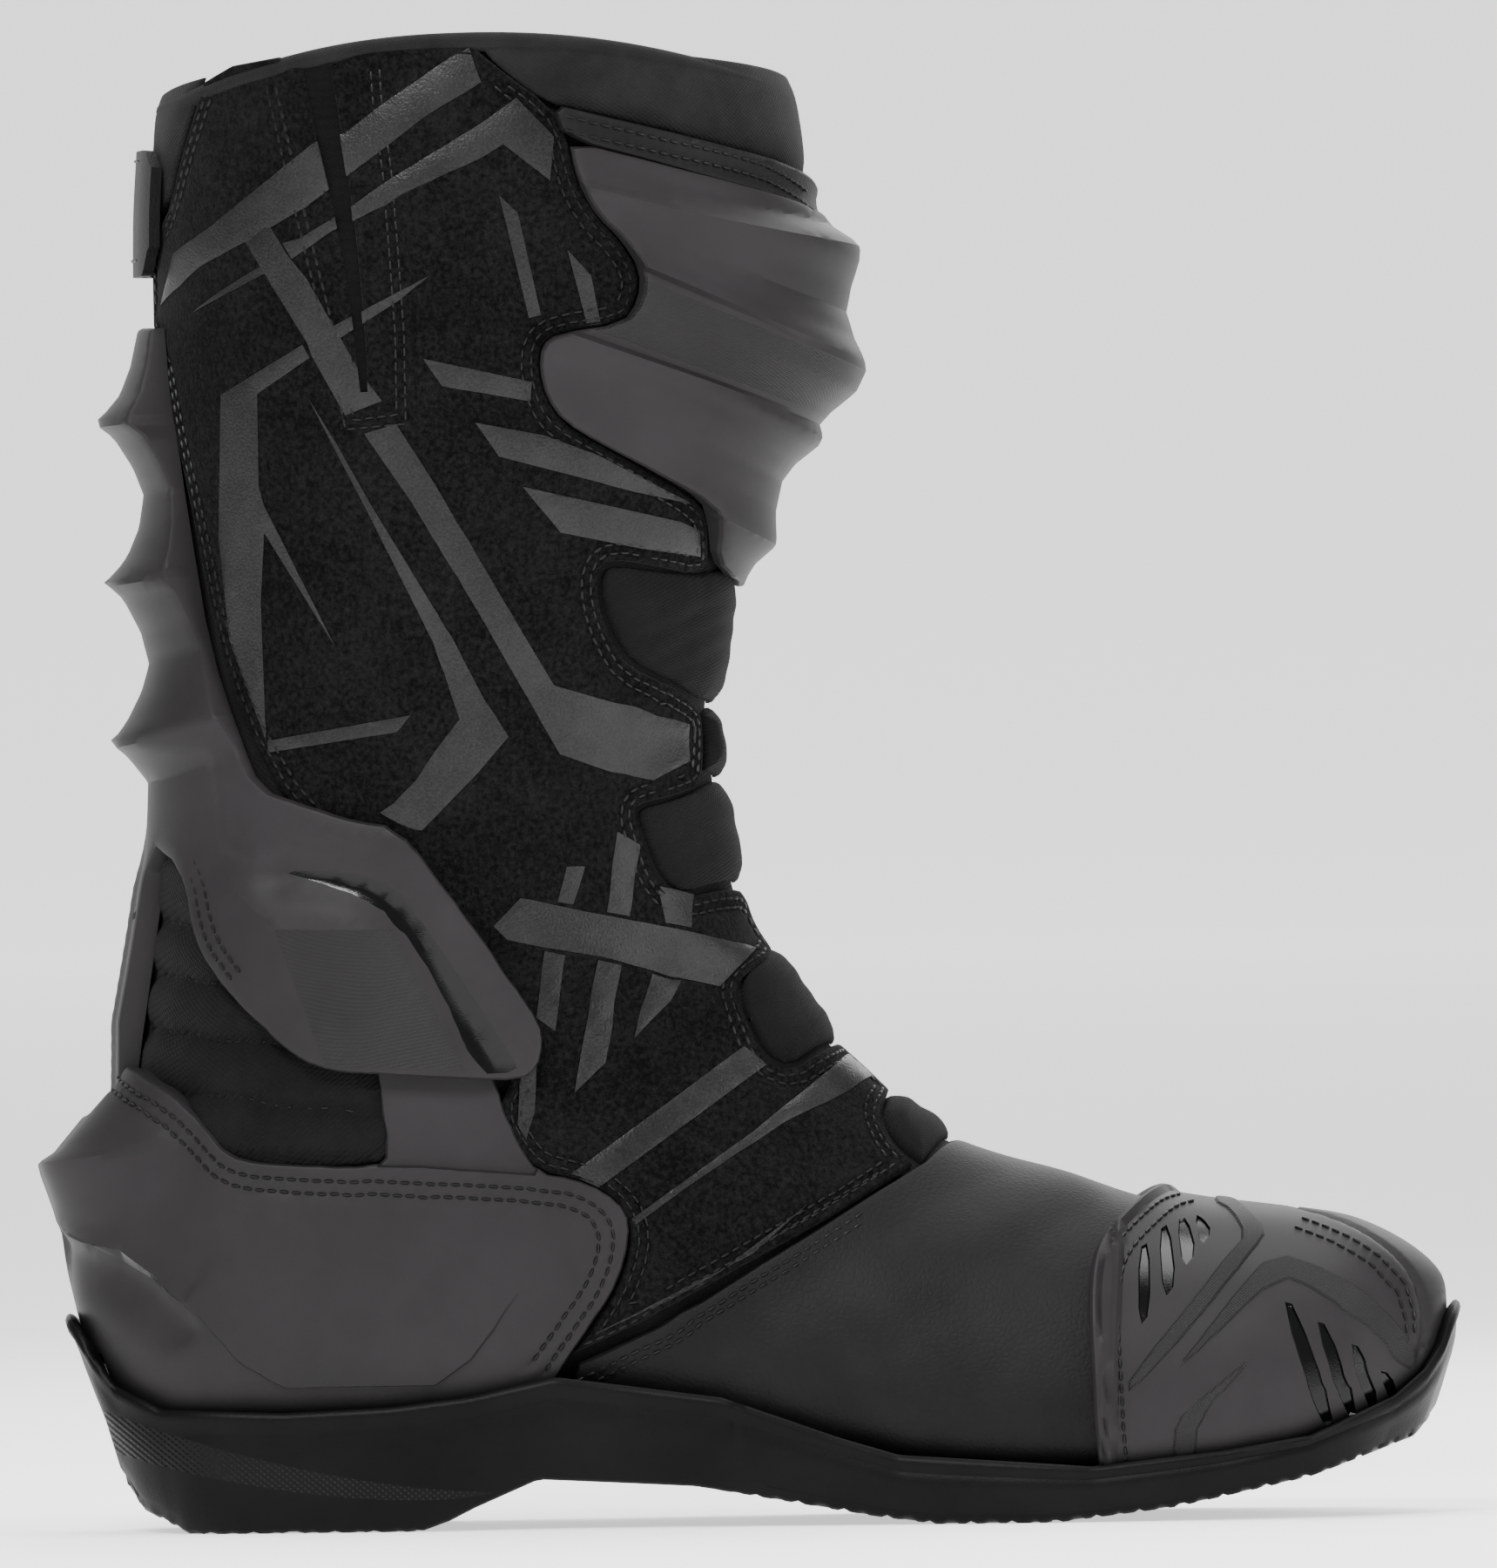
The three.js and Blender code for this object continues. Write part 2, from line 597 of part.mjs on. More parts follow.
function upperFoot() {
  const vamp = [
    [[92, 11.5], [104, 66.3]],
    [[78, 10.5], [89, 69]],
    [[60, 9.5], [78, 72]],
    [[38, 11], [68, 75.5]],
    [[14, 17], [60, 77.8]],
    [[-10, 24], [53, 80]],
    [[-39, 29], [48.5, 82]],
  ];
  add("vamp", panel({ rows: vamp, toward: 0, guides: [0.34, 0.67, 0.9], cols: 2, layer: SKIN }), "microfibre");
  const toeCap = ({ from, to }) => (u, v) => {
    const w = Math.abs(2 * v - 1);
    const ridge = from + (to[0] - from) * u;
    const low = from + (to[1] - from) * u;
    return [ridge + (low - ridge) * w ** 1.5, Math.sign(v - 0.5) * w * rad(122)];
  };
  add(
    "toe_cap",
    shell({ rows: 8, cols: 14, at: toeCap({ from: 0, to: [6.2, 7.2] }), inner: OVERLAY[0] + 0.4, outer: OVERLAY[1], toe: true }),
    "guard",
  );

  const cup = panel({
    rows: [
      [[-125.5, 101], [-131.5, 90]],
      [[-121, 94], [-132.8, 84]],
      [[-112, 82], [-134.8, 75]],
      [[-79, 80], [-136, 68]],
      [[-46, 76], [-138, 54]],
      [[-31, 71], [-136.5, 39]],
      [[-27, 62], [-130, 26]],
      [[-34, 46], [-103, 20]],
      [[-44, 31], [-60, 22]],
    ],
    toward: Math.PI,
    guides: [0.4, 0.75],
    longest: 26,
    cols: 3,
    layer: [heelInner, heelOuter],
  });
  const upright = [
    [[-61, 117], [-81, 117]],
    [[-54, 98], [-79, 99]],
    [[-45, 74], [-77, 74]],
  ];
  const uprights = SIDES.map(([, side]) => panel({ rows: upright, side, guides: [], cols: 2, layer: OVERLAY }));
  const holes = SIDES.map(([, side]) => cylinderY(PIN_RADIUS + RUNNING_GAP, 0, -side * 70, ANKLE.x, ANKLE.z));
  add("heel_cup", cut(joined(cup, ...uprights), ...holes), "guard");
}

// ---- Toe slider, on the outer side of the toe ----

function toeSlider() {
  const at = (u, v) => [1.5 + 3.4 * u, -rad(56 + 36 * v)];
  const crown = (s, phi) => {
    const u = (s - 1.5) / 3.4;
    const v = (-phi - rad(56)) / rad(36);
    return 4 + 3.4 * Math.sqrt(Math.max(0, Math.sin(Math.PI * clamp(u, 0.02, 0.98)) * Math.sin(Math.PI * clamp(v, 0.04, 0.96))));
  };
  const plate = shell({ rows: 7, cols: 4, at, inner: 3.3, outer: crown });
  const spots = [2.3, 4.1].map((s) => {
    const phi = -rad(74);
    return { at: surface(s, phi, 0), normal: normalAt(s, phi) };
  });
  const along3 = (spot, radius, from, to, segments) => {
    const g = new THREE.CylinderGeometry(radius, radius, to - from, segments);
    g.deleteAttribute("normal");
    g.deleteAttribute("uv");
    const turn = new THREE.Quaternion().setFromUnitVectors(new THREE.Vector3(0, 1, 0), spot.normal);
    g.applyQuaternion(turn);
    const middle = spot.at.clone().addScaledVector(spot.normal, (from + to) / 2);
    return mergeVertices(g.translate(...middle.toArray()), 1e-4);
  };
  const holes = spots.map((spot) => along3(spot, 2.3, 1, 14, 16));
  add("toe_slider", cut(plate, ...holes), "gloss");
  spots.forEach((spot, i) => add(`toe_slider_screw_${i + 1}`, along3(spot, 1.9, 3.4, 7.2, 12), "steel"));
}

// ---- Ankle: soft panels that bend with the joint ----

function ankle() {
  add(
    "ankle_sleeve",
    shell({
      rows: 9,
      cols: 22,
      around: true,
      at: (u, v) => {
        const phi = TURN * v;
        const from = footTop(phi > Math.PI ? TURN - phi : phi) + 0.15;
        return [from + (LEG_FROM - 0.12 - from) * u, phi];
      },
      inner: SHAFT_LINING[0] - 1,
      outer: (s, phi) => SHAFT_LINING[1] - 1.6 * smooth(fromBack(phi), rad(100), rad(150)),
    }),
    "lining",
  );
  add(
    "achilles_bellows",
    panel({
      rows: [
        [[-117, 151], [-124.5, 149]],
        [[-112, 130], [-126.5, 128]],
        [[-98, 107], [-128.8, 110]],
        [[-84, 98], [-130.5, 98]],
        [[-84, 84], [-132, 88]],
        [[-104, 77], [-134, 78]],
      ],
      toward: Math.PI,
      guides: [0.5],
      cols: 2,
      layer: [-1.7, -0.7],
    }),
    "stretch",
  );
  const lobes = [
    [
      [[-7, 205.5], [-2, 204]],
      [[-25.5, 205.5], [-3, 200]],
      [[-26.5, 197], [-4, 193]],
      [[-20.5, 185], [-5, 185]],
      [[-8, 178.5], [-6, 178.5]],
    ],
    [
      [[-8.1, 175.5], [-6, 176]],
      [[-8, 163.5], [-5, 162.5]],
    ],
    [
      [[-8, 160.7], [-4.6, 160.7]],
      [[-20.3, 155.5], [-4, 155]],
      [[-17, 144.5], [-2.2, 146.5]],
      [[-3, 141.5], [-1.2, 141.4]],
    ],
    [
      [[5.2, 125.2], [6.2, 124.8]],
      [[1, 116.5], [10.5, 117.6]],
      [[7.3, 105.8], [15.5, 110]],
      [[17, 104.8], [19.5, 105]],
    ],
    [
      [[29, 92.8], [31.5, 92.3]],
      [[32.2, 85], [38, 88]],
      [[36.5, 78.8], [44, 84.3]],
    ],
  ];
  lobes.forEach((rows, i) =>
    add(`instep_lobe_${i + 1}`, panel({ rows, toward: 0, guides: [0.6], cols: 2, layer: SKIN }), "stretch"),
  );
}

// ---- Leg: side panels, collar, gusset ----

function sidePanels() {
  const whole = panel({ rows: PANEL_ROWS, guides: [0.1, 0.25, 0.45, 0.65, 0.82, 0.93], cols: 1, layer: SKIN });
  const wedge = new THREE.Shape([
    new THREE.Vector2(-94, 330),
    new THREE.Vector2(-84, 330),
    new THREE.Vector2(-78, 244),
    new THREE.Vector2(-80, 244),
  ]);
  const slot = new THREE.ExtrudeGeometry(wedge, { depth: 60, bevelEnabled: false });
  slot.deleteAttribute("normal");
  slot.deleteAttribute("uv");
  slot.rotateX(Math.PI / 2); // the wedge's outline stands in the side view, and it reaches to -Y
  add("suede_panel", cut(whole, mergeVertices(slot, 1e-4)), "suede");
  const gusset = [
    [[-84.8, 321], [-92.6, 321]],
    [[-78.9, 248], [-79.7, 248]],
  ];
  add("stretch_gusset", panel({ rows: gusset, guides: [], cols: 1, layer: [-1.3, -0.4] }), "stretch");

  // The outer side's panel is parted by the zip, from the rim to the zip's foot
  const zipX = (z) => ZIP.top[0] + ((ZIP.bottom[0] - ZIP.top[0]) * (z - ZIP.top[1])) / (ZIP.bottom[1] - ZIP.top[1]);
  const beside = (z, gap) => [zipX(Math.min(z, 290)) + gap, z];
  const frontRows = PANEL_ROWS.map(([front, rear]) => [front, rear[1] > 150 ? beside(rear[1], ZIP_GAP) : rear]);
  const rearRows = PANEL_ROWS.filter(([, rear]) => rear[1] > 160).map(([, rear]) => [beside(rear[1], -ZIP_GAP), rear]);
  add(
    "lateral_panel_front",
    panel({ rows: frontRows, side: -1, guides: [0.12, 0.3, 0.5, 0.75], cols: 1, layer: SKIN }),
    "microfibre",
  );
  add("lateral_panel_rear", panel({ rows: rearRows, side: -1, guides: [0.6], cols: 2, layer: SKIN }), "microfibre");
  const frontCollar = [
    [[-47, 322.5], [13, 315]],
    [[-37, 307.5], [16, 291]],
  ];
  const rearCollar = [
    [[-115.5, 316.5], [-124, 313]],
    [[-119, 303], [-125, 300]],
    [[-122.4, 289], [-126, 285]],
    [[-123.6, 276], [-126, 272]],
    [[-123.7, 256], [-125.8, 254]],
  ];
  add("collar_front", panel({ rows: frontCollar, toward: 0, guides: [0.5], cols: 3, layer: SKIN }), "lining");
  add("collar_rear", panel({ rows: rearCollar, toward: Math.PI, guides: [], cols: 3, layer: SKIN }), "lining");
}

function shaftLining() {
  const rim = (phi) => 27.9 + 0.85 * Math.sin(phi) ** 2;
  for (const [name, side] of SIDES)
    add(
      `shaft_lining_${name}`,
      shell({
        rows: 6,
        cols: 9,
        at: (u, v) => {
          const phi = rad(0.6 + 178.8 * v);
          return [LEG_FROM + (rim(phi) - LEG_FROM) * u, side * phi];
        },
        inner: SHAFT_LINING[0],
        outer: SHAFT_LINING[1],
      }),
      "lining",
    );
}

// ---- Leg: calf guard, ankle arms, shin guard ----

const STRUT_OUTER = [
  [80, 4.8],
  [88, 5],
  [93, 6.2],
  [110, 8],
  [124, 7],
  [152, 5],
];
const STRUT_INNER = [
  [80, 2.6],
  [93, 2.6],
  [108, 2.4],
  [124, 1.8],
  [152, 0.6],
];

function guards() {
  const spine = panel({
    rows: [
      [[-122.5, 262], [-126, 262]],
      [[-122.2, 252], [-125.6, 251]],
      [[-121.8, 246], [-125.4, 244.5]],
      [[-121.4, 242], [-125, 239]],
      [[-119.5, 226], [-124.6, 225]],
      [[-117.5, 212], [-124.2, 211]],
      [[-116.5, 207], [-124.2, 206]],
      [[-113.5, 189], [-124, 188.5]],
      [[-110, 177], [-124.2, 176]],
      [[-108.5, 172], [-124.2, 171.5]],
      [[-104, 161], [-124.4, 160]],
      [[-108, 149], [-125, 149]],
    ],
    toward: Math.PI,
    guides: [0.6],
    cols: 2,
    layer: [OVERLAY[0], spineOuter],
  });
  const armOffset = (from, to) => (s, phi) => {
    const z = base(s, phi).z;
    return from + (to - from) * (1 - smooth(z, 122, 158));
  };
  const arm = [
    [[-104, 163], [-119, 151]],
    [[-88, 157], [-116.5, 140]],
    [[-75, 152], [-112, 128]],
    [[-66, 142], [-104, 113]],
    [[-57, 128], [-96, 104.5]],
    [[-47, 111], [-88, 99]],
    [[-46.5, 104], [-78, 98]],
    [[-50, 98], [-66, 97.5]],
  ];
  const arms = SIDES.map(([, side]) =>
    panel({
      rows: arm,
      side,
      guides: [0.5],
      cols: 2,
      layer: [armOffset(OVERLAY[0], ARM[0]), armOffset(3, ARM[1])],
    }),
  );
  const bar = shell({
    rows: 7,
    cols: 2,
    at: (u, v) => {
      const [s] = find(...pointAt([[-125, 155], [-129, 110], [-133, 84.5]], u));
      return [s, Math.PI + rad(STRUT_HALF_ANGLE) * (2 * v - 1)];
    },
    inner: (s) => along(STRUT_INNER, base(s, Math.PI).z),
    outer: (s) => along(STRUT_OUTER, base(s, Math.PI).z),
  });
  const sockets = SIDES.map(([, side]) => {
    const [s, phi] = find(ANKLE.x, ANKLE.z, side);
    const from = surface(s, phi, ARM[0] - 3).y;
    const to = surface(s, phi, ARM[1] - 1).y;
    return cylinderY(PIN_RADIUS + RUNNING_GAP, from, to, ANKLE.x, ANKLE.z);
  });
  add("calf_guard", cut(joined(spine, bar, ...arms), ...sockets), "guard");

  for (const [name, side] of SIDES) {
    const [s, phi] = find(ANKLE.x, ANKLE.z, side);
    const y = (off) => surface(s, phi, off).y;
    const head = cylinderY(PIN_HEAD_RADIUS, y(-2), y(-0.4), ANKLE.x, ANKLE.z, 24);
    const body = cylinderY(PIN_RADIUS, y(-0.8), y(ARM[1] - 1.4), ANKLE.x, ANKLE.z, 20);
    add(`pivot_pin_${name}`, joined(head, body), "steel");
    const trim = [
      [[-99, 145.5], [-97, 143.5]],
      [[-76, 143], [-80, 139]],
      [[-70, 136], [-75, 132]],
      [[-60, 118], [-68, 115]],
      [[-51, 100], [-62, 99.5]],
    ];
    const layer = [armTop(ARM[1] + 0.6), armTop(ARM[1] + 1.3)];
    add(`ankle_trim_${name}`, panel({ rows: trim, side, guides: [], cols: 1, layer }), "gloss");
  }

  const shin = [
    [[-35, 301], [16, 288]],
    [[-31, 289], [16.8, 280]],
    [[-27, 281], [17, 272]],
    [[-22, 272], [16.5, 264]],
    [[-30, 263], [15.5, 256]],
    [[-36.5, 256], [14.5, 250]],
    [[-36, 247], [13, 243]],
    [[-34, 242], [11, 237]],
    [[-23, 234], [8, 229]],
    [[-11.5, 225.5], [4, 220]],
    [[-8, 218], [1.5, 214]],
    [[-7, 210], [-1, 205.5]],
  ];
  add(
    "shin_guard",
    panel({ rows: shin, toward: 0, guides: [0.5], cols: 3, layer: [OVERLAY[0], shinOuter] }),
    "guard",
  );
  const binding = [
    [[-38, 308], [15.5, 297]],
    [[-36, 302.3], [16, 289.8]],
  ];
  add("shin_binding_upper", panel({ rows: binding, toward: 0, guides: [0.5], cols: 3, layer: [0.4, 3.2] }), "microfibre");
}

function armTop(level) {
  return (s, phi) => level - (ARM[1] - 3) * smooth(base(s, phi).z, 122, 158);
}

// ---- Closure: zip and flap, on the outer side ----

// The zip's own frame: along is down the zip, across is towards the toe, out is away from the leg
function zipFrame() {
  const [top, bottom] = [ZIP.top, ZIP.bottom].map(([x, z]) => surface(...find(x, z, -1), ZIP.lift));
  const down = bottom.clone().sub(top);
  const length = down.length();
  down.normalize();
  const [s, phi] = find((ZIP.top[0] + ZIP.bottom[0]) / 2, (ZIP.top[1] + ZIP.bottom[1]) / 2, -1);
  const out = normalAt(s, phi);
  out.addScaledVector(down, -out.dot(down)).normalize();
  const across = new THREE.Vector3().crossVectors(out, down).normalize();
  if (across.x < 0) across.negate();
  return { top, down, out, across, length };
}

function closure() {
  const { top, down, out, across, length } = zipFrame();
  const matrix = new THREE.Matrix4().makeBasis(across, down, out);
  // An outline in [across, down] thickened from out0 to out1
  const plate = (points, out0, out1) => {
    const shape = new THREE.Shape(points.map(([a, d]) => new THREE.Vector2(a, d)));
    const g = new THREE.ExtrudeGeometry(shape, { depth: out1 - out0, bevelEnabled: false });
    g.deleteAttribute("normal");
    g.deleteAttribute("uv");
    const m = mergeVertices(g.translate(0, 0, out0), 1e-4);
    m.applyMatrix4(matrix).translate(...top.toArray());
    const p = m.attributes.position;
    const vertices = [...Array(p.count).keys()].map((i) => new THREE.Vector3().fromBufferAttribute(p, i));
    const index = [...m.index.array];
    const faces = [];
    for (let i = 0; i < index.length; i += 3) faces.push(index.slice(i, i + 3));
    return geometryOf(vertices, faces);
  };
  const box = (a0, a1, d0, d1, out0, out1) => plate([[a0, d0], [a1, d0], [a1, d1], [a0, d1]], out0, out1);

  const pitch = (length - 8) / ZIP.teeth;
  for (const [name, sign] of [["front", 1], ["rear", -1]]) {
    add(`zip_tape_${name}`, box(...(sign > 0 ? [3.3, ZIP.tapeWidth] : [-ZIP.tapeWidth, -3.3]), 0, length, -0.4, 0.3), "zip");
    const comb = [[sign * 3, 4], [sign * 3, length - 4]];
    for (let k = ZIP.teeth - 1; k >= 0; k--) {
      const d = 4 + pitch * (k + 0.5);
      const half = pitch * 0.27;
      comb.push([sign * 1.9, d + half + 0.3], [sign * 0.7, d + half], [sign * 0.7, d - half], [sign * 1.9, d - half - 0.3]);
    }
    add(`zip_teeth_${name}`, plate(comb, -0.7, 0.7), "zip");
  }
  add("zip_bottom_stop", box(-3, 3, length - 3.4, length - 0.4, -0.8, 0.9), "steel");

  const d0 = SLIDER_TRAVEL_START;
  const slider = joined(
    plate([[-3.6, d0 - 5], [3.6, d0 - 5], [4.4, d0 + 1], [3.2, d0 + 5], [-3.2, d0 + 5], [-4.4, d0 + 1]], 1.1, 2.1),
    box(-0.35, 0.35, d0 - 5, d0 + 5, -1.8, 1.6),
    plate([[-3.2, d0 - 4], [3.2, d0 - 4], [3.2, d0 + 4], [-3.2, d0 + 4]], -1.9, -1.1),
    box(-1.6, -0.9, d0 - 1.5, d0 + 1.5, 1.8, 4.4),
    box(0.9, 1.6, d0 - 1.5, d0 + 1.5, 1.8, 4.4),
  );
  add("zip_slider", slider, "steel");
  const tab = joined(
    box(-0.55, 0.55, d0 - 0.9, d0 + 4.5, 2.6, 4.1),
    plate([[-1.4, d0 + 3.4], [1.4, d0 + 3.4], [3, d0 + 8], [3, d0 + 26], [1.8, d0 + 28], [-1.8, d0 + 28], [-3, d0 + 26], [-3, d0 + 8]], 2.6, 4.1),
  );
  add("zip_puller", tab, "zip");

  const flapAt = (from, to) => (u, v) => {
    const [s0] = find(-60, 301, -1);
    const [s1] = find(-60, 276, -1);
    return [s0 + (s1 - s0) * u, -rad(from + (to - from) * v)];
  };
  add("closure_flap", shell({ rows: 3, cols: 14, at: flapAt(84, 188), inner: 4, outer: 5.5 }), "microfibre");
  add("flap_base_strip", shell({ rows: 2, cols: 1, at: flapAt(84, 91), inner: 0.6, outer: 3.6 }), "microfibre");
  add("hook_patch", shell({ rows: 2, cols: 4, at: flapAt(150, 182), inner: 2.8, outer: 3.6 }), "stretch");
  add("loop_patch", shell({ rows: 2, cols: 4, at: flapAt(148, 184), inner: 0.8, outer: 1.6 }), "stretch");
}

foot();
upperFoot();
toeSlider();
ankle();
sidePanels();
shaftLining();
guards();
closure();

// The origin is the middle of the foot print, on the ground
boot.children.forEach((mesh) => mesh.geometry.translate(...TO_ORIGIN));

export default boot;
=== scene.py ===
"""Looks of a left riding boot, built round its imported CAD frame. Lengths are in millimetres until a mesh is made."""
import math

import bmesh
import bpy
import numpy as np
from mathutils import Matrix, Vector
from mathutils.geometry import delaunay_2d_cdt
from mathutils.kdtree import KDTree


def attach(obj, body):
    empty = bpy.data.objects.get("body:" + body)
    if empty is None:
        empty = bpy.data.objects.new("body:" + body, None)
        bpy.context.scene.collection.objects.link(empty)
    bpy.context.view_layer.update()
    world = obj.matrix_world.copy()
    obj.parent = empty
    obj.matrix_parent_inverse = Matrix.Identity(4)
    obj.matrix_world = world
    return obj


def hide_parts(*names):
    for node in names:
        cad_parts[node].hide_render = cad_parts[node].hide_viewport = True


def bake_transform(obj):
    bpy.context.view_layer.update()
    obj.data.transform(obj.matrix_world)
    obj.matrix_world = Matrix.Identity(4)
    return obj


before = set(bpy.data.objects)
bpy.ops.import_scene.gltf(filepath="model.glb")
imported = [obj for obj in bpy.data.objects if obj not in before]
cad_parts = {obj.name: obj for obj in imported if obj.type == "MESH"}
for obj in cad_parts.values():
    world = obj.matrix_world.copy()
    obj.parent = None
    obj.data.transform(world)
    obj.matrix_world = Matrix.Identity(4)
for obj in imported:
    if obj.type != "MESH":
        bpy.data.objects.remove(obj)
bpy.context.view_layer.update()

# ---- The base surface, the same as the CAD's ----

TO_ORIGIN = np.array([-0.56, -2.24, 0.0])
PI = math.pi
rad = np.radians

# front x, front z, back x, back z, inner half width, outer half width, middle y, widest at, front and
# back roundness
SLICES = np.array([
    [149.5, 47, 149.5, 39, 0, 0, -9, 0.6, 2.2, 2.6],
    [148.5, 51, 148.5, 33, 11, 11, -9, 0.6, 2.2, 2.6],
    [144, 55.5, 145.5, 28, 20, 21, -8.5, 0.62, 2.2, 2.8],
    [136.5, 60, 138.5, 23.5, 29, 30, -7.5, 0.65, 2.2, 3],
    [128, 63, 129, 18.5, 36, 38, -6, 0.68, 2.2, 3.2],
    [114, 65, 114, 12.5, 41, 44, -3.5, 0.7, 2.2, 3.4],
    [99, 67, 98, 9.5, 44, 48, -1, 0.72, 2.1, 3.5],
    [84, 70, 81, 7.5, 45.5, 50, 0.5, 0.73, 2.1, 3.5],
    [69, 75, 62, 7, 45.5, 50, 1, 0.74, 2, 3.5],
    [56, 79, 41, 8.5, 44, 48.5, 1.5, 0.74, 2, 3.5],
    [44, 84, 19, 12.5, 42, 46, 1.5, 0.73, 1.95, 3.4],
    [33, 91, -8, 18, 40, 43, 1.5, 0.72, 1.95, 3.3],
    [23, 101, -38, 24, 39, 41, 1, 0.7, 2, 3.2],
    [14, 112, -73, 21, 39.5, 41, 0.5, 0.68, 2, 3],
    [7, 123, -103, 20, 40, 41, 0, 0.65, 2, 2.7],
    [1, 134, -127, 23, 40.5, 41, 0, 0.62, 2.05, 2.5],
    [-2, 145, -136, 36, 40.5, 41, 0, 0.6, 2.1, 2.4],
    [-4, 156, -138, 53, 40.5, 41, 0, 0.58, 2.1, 2.3],
    [-5, 167, -136, 69, 41, 41, 0, 0.56, 2.1, 2.3],
    [-6, 177, -132, 88, 41.5, 41.5, 0, 0.54, 2.1, 2.25],
    [-4, 190, -129, 110, 42.5, 42.5, 0, 0.53, 2.1, 2.2],
    [-2, 203, -126, 138, 44, 44, 0, 0.52, 2.1, 2.2],
    [3, 218, -124, 168, 46.5, 46.5, 0, 0.52, 2.1, 2.2],
    [10, 235, -124, 201, 49.5, 49.5, 0, 0.52, 2.1, 2.2],
    [15, 252, -125, 230, 52, 52, 0, 0.52, 2.1, 2.2],
    [17, 269, -126, 258, 54, 54, 0, 0.52, 2.1, 2.2],
    [16, 286, -126, 283, 55, 55, 0, 0.52, 2.1, 2.2],
    [15, 301, -125, 300, 55, 55, 0, 0.52, 2.1, 2.2],
    [13, 315, -124, 313, 54.5, 54.5, 0, 0.52, 2.1, 2.2],
    [12, 328, -123, 326, 54, 54, 0, 0.52, 2.1, 2.2],
], dtype=float)
LAST = len(SLICES) - 1


def slice_at(s):
    s = np.clip(np.asarray(s, float), 0, LAST)
    i = np.minimum(s.astype(int), LAST - 1)
    f = (s - i)[..., None]
    a, b, d, e = (SLICES[np.clip(i + k, 0, LAST)] for k in (-1, 0, 1, 2))
    return b + 0.5 * f * (d - a + f * (2 * a - 5 * b + 4 * d - e + f * (3 * (b - d) + e - a)))


def base(s, phi):
    r = slice_at(s)
    c, n = np.cos(phi), np.sin(phi)
    front = c >= 0
    roundness = np.where(front, r[..., 8], r[..., 9])
    depth = np.abs(c) ** (2 / roundness)
    widest = r[..., 7]
    t = np.where(front, widest * (1 - depth), widest + (1 - widest) * depth)
    half = np.where(n >= 0, -r[..., 4], r[..., 5])
    y = r[..., 6] + np.abs(n) ** (2 / roundness) * half
    return np.stack([r[..., 0] + (r[..., 2] - r[..., 0]) * t, y, r[..., 1] + (r[..., 3] - r[..., 1]) * t],
        -1)


def from_back(phi):
    p = np.where(phi > PI, phi - 2 * PI, phi)
    return np.abs(PI - np.abs(p))


def unit(v):
    return v / np.maximum(np.linalg.norm(v, axis=-1, keepdims=True), 1e-9)


def normal(s, phi):
    s = np.asarray(s, float)
    phi = np.asarray(phi, float)
    tip = s < 0.01
    s0 = np.clip(s, 0.3, LAST - 0.1)
    p0 = np.where(tip, PI - from_back(phi), phi)
    step = 0.03
    n = np.cross(base(s0 + step, p0) - base(s0 - step, p0), base(s0, p0 + step) - base(s0, p0 - step))
    n[..., 1] = np.where(tip, 0, n[..., 1])
    return unit(n)


def surf(s, phi, off):
    return base(s, phi) + normal(s, phi) * np.asarray(off, float)[..., None]


SCAN = np.linspace(0, LAST, 30 * 6 + 1)


def reach(s, x, z):
    r = slice_at(s)
    return (r[..., 2] - r[..., 0]) * (z - r[..., 1]) - (r[..., 3] - r[..., 1]) * (x - r[..., 0])


def find(points, side=1):
    """The slices and angles of side-view points x, z."""
    xz = np.asarray(points, float)
    x, z = xz[:, 0], xz[:, 1]
    grid = reach(SCAN[None, :], x[:, None], z[:, None])
    who, at = np.nonzero(grid[:, :-1] * grid[:, 1:] <= 0)
    lo, hi = SCAN[at].copy(), SCAN[at + 1].copy()
    for _ in range(24):
        mid = (lo + hi) / 2
        left = reach(lo, x[who], z[who]) * reach(mid, x[who], z[who]) <= 0
        hi = np.where(left, mid, hi)
        lo = np.where(left, lo, mid)
    missing = np.setdiff1d(np.arange(len(x)), who)
    who = np.concatenate([who, missing])
    lo = np.concatenate([lo, np.where(x[missing] > 100, 0, LAST)])
    r = slice_at(lo)
    d = r[:, 2:4] - r[:, 0:2]
    raw = ((x[who] - r[:, 0]) * d[:, 0] + (z[who] - r[:, 1]) * d[:, 1]) / np.maximum((d ** 2).sum(1), 1e-9)
    over = np.maximum(0, np.maximum(raw - 1, -raw))
    t = np.clip(raw, 0, 1)
    w = r[:, 7]
    head = 1 - np.clip(t / w, 0, 1)
    tail = np.clip((t - w) / (1 - w), 0, 1)
    depth = np.where(t < w, head ** (r[:, 8] / 2), -(tail ** (r[:, 9] / 2)))
    phi = np.arccos(np.clip(depth, -1, 1))
    best = np.full(len(x), 1e9)
    out = np.zeros((len(x), 2))
    for k, i in enumerate(who):
        if over[k] < best[i]:
            best[i] = over[k]
            out[i] = lo[k], side * phi[k]
    return out


# The flat drawing plane in which panels are triangulated: around the leg, and along it
STEPS = 0.5 * (np.hypot(*np.diff(SLICES[:, 0:2], axis=0).T) + np.hypot(*np.diff(SLICES[:, 2:4], axis=0).T))
ALONG = np.concatenate([[0], np.cumsum(STEPS)])
AROUND = 44.0


def to_plane(sp):
    return np.stack([sp[:, 1] * AROUND, np.interp(sp[:, 0], np.arange(LAST + 1), ALONG)], 1)


def from_plane(uv):
    return np.interp(uv[:, 1], ALONG, np.arange(LAST + 1)), uv[:, 0] / AROUND


def smooth(x, a, b):
    t = np.clip((np.asarray(x, float) - a) / (b - a), 0, 1)
    return t * t * (3 - 2 * t)


